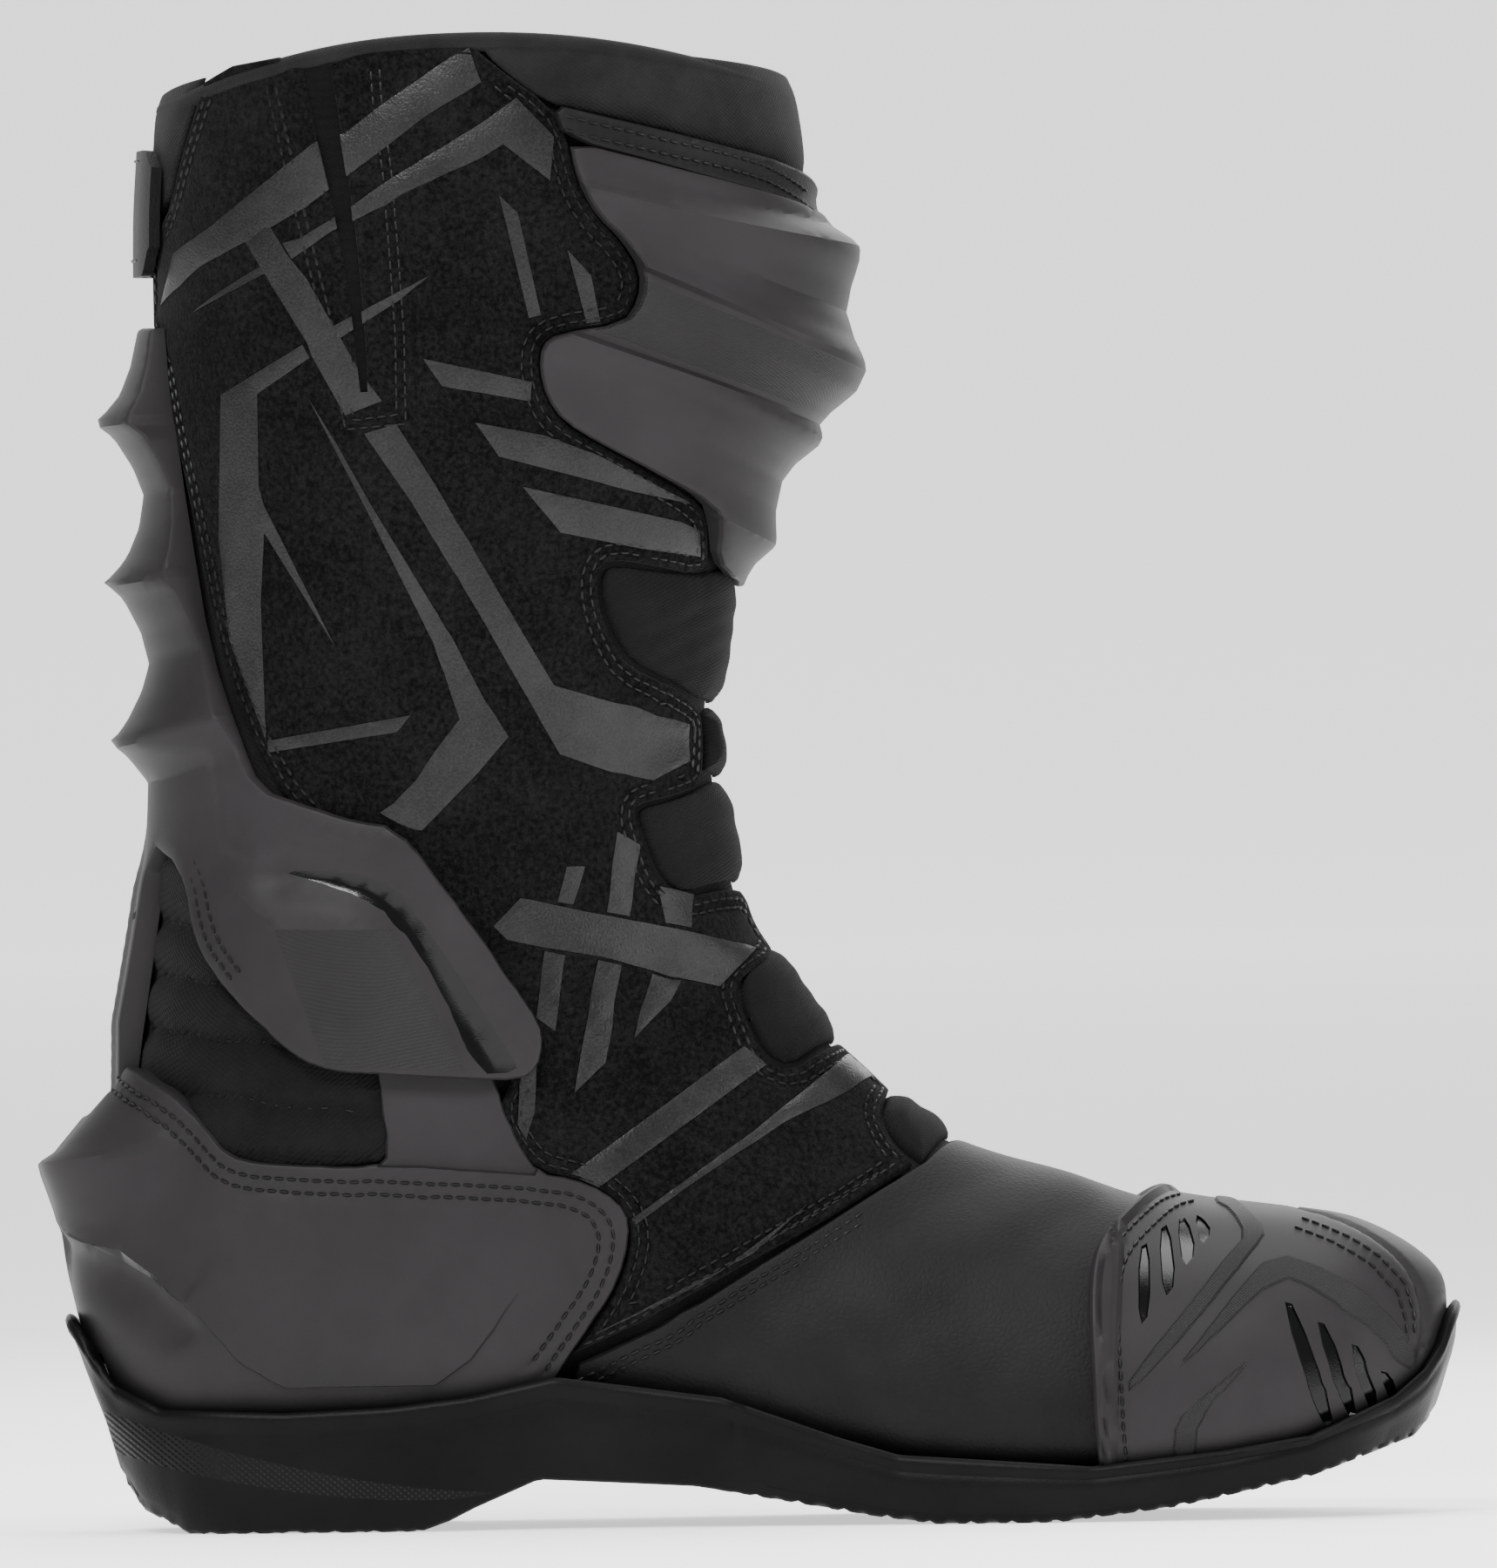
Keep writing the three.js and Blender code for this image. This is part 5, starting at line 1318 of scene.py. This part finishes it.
SUEDE_REAR = [
    (-113, 317.5), (-116, 308), (-119, 299), (-121.5, 289), (-123.8, 284), back(280, 6), back(262, 6),
    (-123.2, 252), (-121.5, 240), (-118, 222),
    (-113.5, 196), (-107, 175), (-102, 166), (-99, 160), (-90, 150), (-76, 140), (-66, 128), (-58, 118),
    (-53, 112), (-49.5, 99),
    (-53.5, 91), (-49, 82), (-44.5, 77.5), (-38.5, 76), (-32, 73.8), (-27, 69.5), (-25, 64), (-26.5, 56),
    (-32, 46), (-41, 35),
]
SUEDE_FRONT = [
    (37, 77.2), (33.5, 80), (30.5, 84), (29.2, 89), (31, 92), (31.3, 95), (22, 104.5), (17, 102.5),
    (10, 98.5), (4.5, 101), (1, 108), (-1, 113), (-0.8, 118), (2, 120.5),
    (6.2, 122.6), (6, 129), (0, 137.5), (-4, 138), (-12, 136.3), (-16, 137.5), (-19, 142), (-21.5, 149),
    (-23, 155), (-21.5, 157), (-14, 158.5), (-9, 160.5),
    (-8, 165), (-8, 174), (-9, 178.5), (-14, 182), (-24, 187), (-27.5, 193), (-30, 201), (-30, 207.5),
    (-27, 210), (-17, 208.2), (-9, 206.3), (-6.2, 209),
    (-6, 218), (-7.5, 222), (-17, 228), (-29, 235), (-37.5, 240), (-40.5, 244.5), (-42, 251),
    (-41.5, 256.5), (-38, 259), (-23.5, 261), (-20.5, 266), (-20, 272),
    (-24, 279), (-29, 284), (-32, 289), (-34, 295), (-35, 301), (-38.5, 308), (-51, 317.5), (-55.5, 321.6),
]
GUSSET_SLIT = [(-86.6, 321), (-84.6, 306), (-81.8, 286), (-80.4, 270), (-79, 247), (-80.6, 247),
    (-82.8, 270), (-86, 288), (-90, 306), (-92.4, 320.6)]
PRINTS = [
    [(-124, 267), (-115, 275), (-105, 280), (-92, 287), (-74, 300), (-66, 306), (-53.5, 313.5),
    (-56, 321), (-60, 319), (-75, 309), (-83, 303), (-90, 301), (-99, 294), (-112, 284), (-121, 278)],
    [(-97, 279.5), (-95, 276), (-86, 282), (-74, 287.5), (-71, 289.5), (-53, 297.5), (-49, 300),
    (-39, 292), (-38, 301.5), (-46, 310), (-53, 305), (-74, 292.5), (-82, 287), (-93, 280.5)],
    [(-101, 275), (-101, 273), (-117, 265), (-109, 270.5)],
    [(-87, 261), (-80, 264.5), (-65, 272), (-72, 266.6), (-85, 258.6)],
    [(-105, 280), (-101, 273), (-92, 258), (-91, 255), (-84, 242), (-76, 245), (-81, 252), (-92, 272),
    (-96, 277), (-100, 284)],
    [(-80, 238), (-70, 223), (-56, 199), (-39, 168), (-28, 164), (-19, 162), (-11, 166), (-11, 174),
    (-18, 176), (-27, 179), (-40, 183), (-48, 197), (-65, 227), (-73, 240)],
    [(-92, 246), (-80, 222), (-66, 193), (-60.5, 176), (-66, 169), (-70, 163), (-75, 158), (-78, 156),
    (-69, 152), (-63, 158), (-57, 164), (-50, 172), (-55, 180), (-62, 194), (-79, 223), (-86, 236)],
    [(-93, 257.5), (-91.5, 254.6), (-103, 247), (-103, 227), (-102, 223), (-87, 192), (-102, 217),
    (-103, 202), (-102.4, 172), (-110, 194), (-112, 216), (-111, 247)],
    [(-102, 172), (-71, 177), (-74, 173.4), (-102, 169.4)],
    [(-50, 289), (-46, 285), (-41.4, 263), (-44, 262.4)],
    [(-35.5, 277), (-30.5, 271.4), (-28.6, 261), (-31.5, 260.6)],
    [(-67, 254), (-43.6, 248.6), (-44, 244.4), (-63, 248)],
    [(-56, 240), (-41, 237), (-29.6, 232.6), (-9.5, 221.8), (-22, 224.6), (-29, 226.6), (-51, 232.6)],
    [(-46, 226), (-12, 218), (-8, 216), (-8, 210.4), (-21, 212.4), (-38, 216)],
    [(-54, 131), (-48, 137), (-39, 135), (-30, 133), (-12, 129), (2.6, 125), (-5, 117), (-14, 119),
    (-31, 124), (-42, 126), (-51, 128)],
    [(-38, 143.6), (-34, 143.6), (-36.6, 135.4), (-40, 136)],
    [(-43, 125.4), (-38.6, 124.4), (-41, 108), (-45, 111)],
    [(-27, 151), (-22, 148), (-24.6, 132.6), (-29.4, 133.6)],
    [(-31.6, 123.2), (-26.6, 122), (-30, 101), (-37, 94.6)],
    [(-18, 139), (-10.4, 137), (-11.4, 129.8), (-17, 131)],
    [(-20, 120), (-13.6, 118.4), (-16, 114), (-24, 106)],
    [(-38, 77), (0, 104), (5, 100), (-32, 74)],
    [(-25, 67), (1, 85), (14, 95), (22.5, 101.4), (27.6, 96), (8, 87), (-11, 75), (-24.4, 65.6)],
    [(13.6, 69.8), (5, 63.4), (-10, 52.4), (-35.4, 41.4), (1, 59)],
    [(-49.4, 88), (-48.6, 98), (-45, 102), (-45.6, 90.6), (-47.6, 84.6)],
]


def wrinkle(p):
    """Gentle creases round the bend of the ankle."""
    low = bump_at(np.abs(p[..., 2] - 108), 62)
    return 0.55 * low * np.sin(p[..., 2] * 0.42 + p[..., 0] * 0.2) * smooth(p[..., 0], -60, -20)


def suede_panel():
    points = SUEDE_REAR + SUEDE_FRONT + GUSSET_SLIT
    loop = outline(points, rounds=1)
    pan = Panel(loop, 1.5)
    roll = 0.9 * bump_at(pan.edge - 0.9, 1.6)
    channel = -0.35 * bump_at(pan.edge - 3.4, 2.0)
    top = 0.15 + wrinkle(pan.p) + 0.3 * roll + channel
    use(pan.build("suede_skin", SUEDE, top, -1.4, edge_round=0.9), "ankle", "suede", "suede_panel")
    keep = lambda p: (p[:, 2] > 30) & (p[:,
        2] < 316) & ~((p[:, 2] > 238) & (p[:, 0] > -98) & (p[:, 0] < -70))
    rows = inset_lines(loop, 1.9, keep) + inset_lines(loop, 3.9, keep)
    bottom_seam = to_plane(place([(-36, 40), (-23, 46), (-10, 53), (3, 61), (15, 68), (30, 76.6)]))
    off = lambda s, p: 0.15 + wrinkle(base(s, p))
    use(stitches("suede_stitches", rows + [bottom_seam], off, THREAD), "ankle", "suede")
    box = [(-100, 314), (-96, 295), (-92, 277), (-88, 260), (-84, 239), (-71, 240), (-71, 259),
        (-72, 277), (-73, 293), (-75, 310), (-75.4, 318)]
    more = [outline_line(box, rounds=0),
        outline_line([(x + 1.9, z + (2 if z < 245 else 0)) if x < -80
        else (x - 1.9, z + (2 if z < 245 else 0)) for x, z in box], rounds=0)]
    use(stitches("gusset_stitches", more, off, THREAD), "ankle", "suede")
    level = lambda s, phi, p: 0.15 + wrinkle(p)
    slit = outline(GUSSET_SLIT + [(-96, 326), (-83, 326)], rounds=0)
    joined = inserts("suede_prints", [outline(shape, rounds=0, step=1.2) for shape in PRINTS], PRINT,
        level, 0.42, holes=[slit])
    use(joined, "ankle", "suede")


suede_panel()


def gusset():
    loop = outline([(-93.4, 320), (-87, 291), (-83.8, 270), (-81.2, 245), (-78.4, 245), (-79.4, 270),
        (-80.8, 291), (-83.6, 306), (-85.6, 320.6)], rounds=0, step=0.8)
    pan = Panel(loop, 0.9)
    ribs = 0.45 * np.abs(np.sin(pan.uv[:, 1] * PI / 2.2))
    use(pan.build("gusset_ribs", GUSSET, -0.5 + ribs, -1.5), "leg", "stretch", "stretch_gusset")


gusset()

ZIP_TOP, ZIP_FOOT, ZIP_GAP = (-78, 256), (-60, 152), 5.5


def zip_x(z):
    return ZIP_TOP[0] + (ZIP_FOOT[0] - ZIP_TOP[0]) * (min(z, 290) - ZIP_TOP[1]) / (ZIP_FOOT[1] - ZIP_TOP[1])


def lateral_panels():
    below = [(-57, 140), (-53, 125), (-50, 112), (-49.5, 99), (-53.5, 91), (-49, 82), (-44.5, 77.5),
        (-38.5, 76), (-32, 73.8), (-27, 69.5), (-25, 64), (-26.5, 56), (-32, 46), (-41, 35)]
    edge = [(zip_x(z) + ZIP_GAP, z) for z in (322, 300, 280, 256, 220, 190, 162, 152)] + below + SUEDE_FRONT
    loop = outline(edge, side=-1, rounds=1)
    pan = Panel(loop, 1.8)
    top = 0.1 + wrinkle(pan.p) + 0.5 * bump_at(pan.edge - 0.9, 1.6)
    use(pan.build("lateral_front_skin", MICRO, top, -1.4), "ankle", "microfibre", "lateral_panel_front")
    rows = inset_lines(loop, 2.2) + inset_lines(loop, 4.4)
    off = lambda s, p: 0.15 + wrinkle(base(s, p))
    use(stitches("lateral_front_stitches", rows, off, THREAD), "ankle", "microfibre")
    rear = [(zip_x(z) - ZIP_GAP, z) for z in (318, 290, 256, 220, 190, 164)] + [
        (-90, 160), (-101, 163), (-107, 175), (-113.5, 196), (-118, 222), (-121.5, 240), (-123.2, 252),
        back(262, 6), back(280, 6),
        (-123.8, 284), (-121.5, 289), (-119, 299), (-116, 308), (-113, 317.5)]
    fixed = place(rounded(rear, 1, closed=True), -1)
    marks = [i for i, p in enumerate(rounded(rear, 1, closed=True)) if isinstance(p[0], str)]
    fixed[marks, 1] = -fixed[marks, 1]
    loop = dense(to_plane(fixed), 1.6, closed=True)
    pan = Panel(loop, 1.8)
    top = 0.1 + 0.5 * bump_at(pan.edge - 0.9, 1.6)
    use(pan.build("lateral_rear_skin", MICRO, top, -1.4), "leg", "microfibre", "lateral_panel_rear")
    rows = inset_lines(loop, 2.2) + inset_lines(loop, 4.4)
    use(stitches("lateral_rear_stitches", rows, 0.15, THREAD), "leg", "microfibre")


lateral_panels()

LOBES = [
    [front(206.4, 0), (-7.5, 206.2), (-17, 206.8), (-26, 208.2), (-28.4, 207), (-28.6, 201), (-26, 193.5),
    (-22.8, 188.2), (-13.6, 183.4), (-8, 179.6), front(178.6, 0)],
    [front(177.6, 0), (-7.3, 176), (-6.7, 170), (-7.2, 164), front(162.4, 0)],
    [front(161.2, 0), (-9.6, 159.2), (-15, 157.2), (-20.6, 155.8), (-21.4, 154.4), (-19.8, 149),
    (-17.4, 142.6), (-14.6, 139), (-11.6, 138), (-4, 139.8), front(139.6, 0)],
    [front(125, 0), (5.4, 124.2), (2.2, 121.8), (0.6, 118.2), (0.4, 113.4), (2.2, 108.8), (5.4, 102.6),
    (10, 100.2), (16.4, 104.2), front(104.6, 0)],
    [front(92.6, 0), (31.4, 91.6), (30.6, 88.8), (31.9, 84.8), (34.6, 81.4), (38.4, 78.6), front(83.8, 0)],
]


def lobes():
    for k, edge in enumerate(LOBES):
        pan = Panel(outline(edge, toward=0, rounds=1, step=1.2), 1.3)
        size = 7.0 if k in (0, 2, 3) else 5.0
        swell = 1 - (1 - np.minimum(pan.edge / size, 1)) ** 2.4
        folds = 0.1 * np.sin(pan.uv[:, 1] * 2 * PI / 9.0) * np.minimum(pan.edge / 4, 1)
        top = -0.3 + 2.7 * swell + folds
        ob = pan.build(f"instep_pad_{k + 1}", STRETCH, top, -1.4, edge_round=0.4)
        use(ob, "ankle", "stretch", f"instep_lobe_{k + 1}")


def backing():
    """The plain stretch layer that shows between the instep's pads."""
    edge = [front(296, 0), front(290, 50), front(250, 60), front(200, 64), front(150, 62), front(110, 52),
        front(84, 34), front(79, 0)]
    pan = Panel(outline(edge, toward=0, rounds=0), 2.2)
    use(pan.build("instep_backing", STRETCH, -1.5, -2.3, edge_round=0.3), "ankle", "stretch")


backing()
lobes()
BELLOWS_BEND = ((-0.130, 0, 0.086), (-0.122, 0, 0.150))


def bellows():
    edge = [
        back(150, 0), (-118, 152), (-113, 149), (-108, 140), (-103, 124), (-95, 112), (-84, 104),
        (-77, 100), (-76, 92), (-76.5, 82),
        (-80, 79.5), (-104, 79), (-113, 79), (-124, 77), back(76, 10), back(75, 0),
    ]
    loop = outline(edge, toward=PI, rounds=1)
    pan = Panel(loop, 1.4)
    quilt = [[back(133.6, 0), (-125, 133), (-112, 131)], [back(121.6, 0), (-126, 121.6), (-108, 118.6)],
        [back(110, 0), (-126, 109.6), (-98, 106)], [back(97.6, 0), (-118, 96), (-78, 91)]]
    gap = pan.edge.copy()
    lines = []
    for q in quilt:
        c = to_plane(place(rounded(q, 1)))
        lines += [c, mirror(c, PI)]
        gap = np.minimum(gap, np.minimum(pan.near(c), pan.near(mirror(c, PI))))
    top = np.maximum(-0.5 + 2.4 * (1 - (1 - np.minimum(gap / 5.6, 1)) ** 2.2),
        2.3 - 4 * from_back(pan.phi) / rad(14))
    limit = 0.4 + 20 * smooth(pan.p[:, 2], 82, 92)
    ob = pan.build("achilles_quilt", STRETCH, np.minimum(top, limit), -1.9, edge_round=0.4)
    use(ob, BELLOWS_BEND, "stretch", "achilles_bellows")
    keep_side = lambda p: np.abs(p[:, 1]) > 12
    use(stitches("quilt_stitches", clipped(lines, keep_side), -0.3, THREAD), BELLOWS_BEND, "stretch")


bellows()


def rim_slice(phi):
    return 27.72 + 0.85 * np.sin(phi) ** 2


def collars():
    loop = outline([front(314.6, 0), (-10, 319), (-30, 321.6), (-54, 322), (-50, 317), (-39.5, 309),
        (-30, 306.8), (-14, 303), (5, 297.8), front(291.4, 0)], toward=0, rounds=1)
    pan = Panel(loop, 1.6)
    swell = 1 - (1 - np.minimum(pan.edge / 7, 1)) ** 2.2
    ob = pan.build("collar_pad_front", KNIT, -0.4 + 1.3 * swell, -1.4, edge_round=0.4)
    use(ob, "leg", "lining", "collar_front")
    loop = outline([back(312.5, 0), (-114.4, 316), (-117.4, 308), (-120.4, 299), (-123, 289.6),
        back(284, 9), back(262, 5), back(254, 4), back(253, 0)], toward=PI, rounds=1)
    pan = Panel(loop, 1.6)
    swell = 1 - (1 - np.minimum(pan.edge / 7, 1)) ** 2.2
    ob = pan.build("collar_pad_rear", KNIT, -0.4 + 1.2 * swell * smooth(pan.p[:, 2], 282, 296), -1.4,
        edge_round=0.4)
    use(ob, "leg", "lining", "collar_rear")
    phi = np.linspace(0, 2 * PI, 240, endpoint=False)
    ring = surf(rim_slice(phi), phi, np.full_like(phi, -2.0))
    ob = tube("rim_roll", ring, 2.7, KNIT, 14, closed=True, flat=0.8)
    use(ob, "leg", "lining")


collars()


def linings():
    for name, side in SIDES:
        at = lambda u, v, k=side: (21.1 + (rim_slice(rad(1) + rad(178) * v) - 0.1 - 21.1) * u,
            k * (rad(0.3) + rad(179.4) * v))
        ob = grid_shell(f"shaft_liner_{name}", KNIT, at, 40, 48, -3.7, -5.4)
        use(ob, "leg", "lining", f"shaft_lining_{name}")
        top_of = lambda phi: 9.9 + 9.2 * np.abs(phi) / PI
        at = lambda u, v, k=side: (0.7 + (top_of(rad(2) + rad(133) * v) - 0.7) * u,
            k * (rad(2) + rad(133) * v))
        ob = grid_shell(f"foot_liner_{name}", KNIT, at, 40, 30, -4.2, -5.4)
        use(ob, "foot", "lining", f"foot_lining_{name}")

    def sleeve(u, v):
        phi = 2 * PI * v
        start = 9.9 + 9.2 * (PI - from_back(phi)) / PI + 0.15
        return start + (20.98 - start) * u, phi

    ob = grid_shell("ankle_liner", KNIT, sleeve, 40, 96, lambda s,
        p: -3.9 - 1.4 * smooth(from_back(p), rad(100), rad(150)), -6.2, around=True)
    use(ob, "ankle", "lining", "ankle_sleeve")
    ob = grid_shell("footbed", KNIT, lambda u, v: (1.6 + 14.2 * u, PI + rad(44) * (2 * v - 1)), 50, 24,
        -6.2, -9.4)
    use(ob, "foot", "lining", "insole")


linings()


def closure():
    s0, s1 = find([(-60, 301)], -1)[0][0], find([(-60, 276)], -1)[0][0]
    at = lambda u, v: (s1 + (s0 - s1) * u, -rad(84 + 114 * v))

    def corner_cut(u, v):
        s, phi = at(u, v)
        end = smooth(v, 0.93, 1.0) ** 2
        mid = (s0 + s1) / 2
        return mid + (s - mid) * (1 - 0.35 * end), phi

    ob = grid_shell("flap_strap", MICRO, corner_cut, 18, 90, lambda s,
        p: 5.4 - 1.6 * smooth(np.abs(p), rad(168), rad(186)), lambda s,
        p: 4.0 - 2.7 * smooth(np.abs(p), rad(176), rad(186)))
    use(ob, "closure_flap", "microfibre", "closure_flap")
    lines = []
    for share in (0.1, 0.9):
        v = np.linspace(0.02, 0.9, 60)
        s, phi = at(np.full_like(v, share), v)
        lines.append(to_plane(np.stack([s, phi], 1)))
    use(stitches("flap_stitches", lines, lambda s, p: 5.5 - 1.6 * smooth(np.abs(p), rad(168), rad(186)),
        THREAD), "closure_flap", "microfibre")


closure()


def toe_slider():
    corners = [(1.6, 60), (1.55, 76), (1.7, 88), (3.2, 93), (4.7, 90), (4.9, 76), (4.8, 62), (3.2, 56)]
    pts = np.array([(s, -rad(a)) for s, a in corners])
    loop = to_plane(pts)
    for _ in range(2):
        nxt = np.roll(loop, -1, 0)
        loop = np.stack([0.75 * loop + 0.25 * nxt, 0.25 * loop + 0.75 * nxt], 1).reshape(-1, 2)
    spots = to_plane(np.array([(2.3, -rad(74)), (4.1, -rad(74))]))
    pan = Panel(dense(loop, 1.0, closed=True), 1.1)
    swell = 1 - (1 - np.minimum(pan.edge / 6, 1)) ** 2
    top = 4.0 + 3.2 * swell
    for spot in spots:
        d = np.hypot(*(pan.uv - spot).T)
        top = np.where(d < 2.6, 4.4, top)
    ob = pan.build("toe_slider_plate", GLOSS, top, 3.3, edge_round=0.6)
    use(ob, "foot", "gloss", "toe_slider")


toe_slider()

# ---- CAD nodes that keep their shape ----

KEPT = {
    "shank": STEEL, "insole_board": BOARD, "toe_puff_medial": BOARD, "toe_puff_lateral": BOARD,
    "heel_stiffener": BOARD,
    "toe_slider_screw_1": STEEL, "toe_slider_screw_2": STEEL, "pivot_pin_medial": STEEL,
    "pivot_pin_lateral": STEEL,
    "zip_tape_front": KNIT, "zip_tape_rear": KNIT, "zip_teeth_front": ZIP, "zip_teeth_rear": ZIP,
    "zip_bottom_stop": STEEL,
    "zip_slider": STEEL, "zip_puller": ZIP, "flap_base_strip": MICRO, "loop_patch": VELCRO,
    "hook_patch": VELCRO,
}
for name, mat in KEPT.items():
    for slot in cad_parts[name].material_slots:
        slot.material = mat

# ---- Floor, light and camera ----


def stage():
    m = bpy.data.materials.new("pale_floor")
    m.use_nodes = True
    bsdf = m.node_tree.nodes["Principled BSDF"]
    bsdf.inputs["Base Color"].default_value = (0.93, 0.93, 0.93, 1)
    bsdf.inputs["Roughness"].default_value = 0.7
    bsdf.inputs["Emission Color"].default_value = (1, 1, 1, 1)
    bsdf.inputs["Emission Strength"].default_value = 0.9
    profile = [(-16.0, 0.0), (14.0, 0.0)]
    for k in range(1, 13):
        a = k * PI / 24
        profile.append((14.0 + 2.0 * math.sin(a), 2.0 - 2.0 * math.cos(a)))
    profile.append((16.0, 14.0))
    me = bpy.data.meshes.new("floor")
    verts = [(x, y, z) for y, z in profile for x in (-16.0, 16.0)]
    faces = [(2 * i, 2 * i + 1, 2 * i + 3, 2 * i + 2) for i in range(len(profile) - 1)]
    me.from_pydata(verts, [], faces)
    me.materials.append(m)
    for p in me.polygons:
        p.use_smooth = True
    ob = bpy.data.objects.new("floor", me)
    bpy.context.scene.collection.objects.link(ob)


def light(name, where, size, power, target=(0, 0, 0.16)):
    data = bpy.data.lights.new(name, "AREA")
    data.shape = "RECTANGLE"
    data.size, data.size_y = size
    data.energy = power
    ob = bpy.data.objects.new(name, data)
    ob.location = where
    ob.rotation_euler = (Vector(where) - Vector(target)).to_track_quat("Z", "Y").to_euler()
    bpy.context.scene.collection.objects.link(ob)


def studio():
    world = bpy.data.worlds.new("studio")
    bpy.context.scene.world = world
    world.use_nodes = True
    world.node_tree.nodes["Background"].inputs["Color"].default_value = (1, 1, 1, 1)
    world.node_tree.nodes["Background"].inputs["Strength"].default_value = 0.55
    light("key", (-0.55, -1.7, 1.45), (0.6, 0.6), 60)
    light("fill", (1.75, -1.05, 0.7), (0.45, 1.3), 22)
    light("top", (0.1, 0.1, 1.7), (1.4, 0.8), 36)
    light("rim", (0.4, 1.1, 1.0), (0.8, 1.2), 10)


def camera():
    tilt = rad(0.917)
    distance = 6.0
    centre = Vector((0.0013, 0.0, 0.1608))
    lift = rad(0.15)
    right = Vector((math.cos(tilt), 0, -math.sin(tilt)))
    towards = Vector((math.sin(lift) * math.sin(tilt), -math.cos(lift), math.sin(lift) * math.cos(tilt)))
    up = towards.cross(right)
    cam = bpy.data.cameras.new("camera")
    ob = bpy.data.objects.new("camera", cam)
    bpy.context.scene.collection.objects.link(ob)
    rot = Matrix((right, up, towards)).transposed().to_4x4()
    ob.matrix_world = Matrix.Translation(centre + towards * distance) @ rot
    cam.sensor_fit = "HORIZONTAL"
    cam.sensor_width = 36
    cam.lens = 36 * distance / 0.3266
    cam.clip_end = 50
    bpy.context.scene.camera = ob


stage()
studio()
camera()
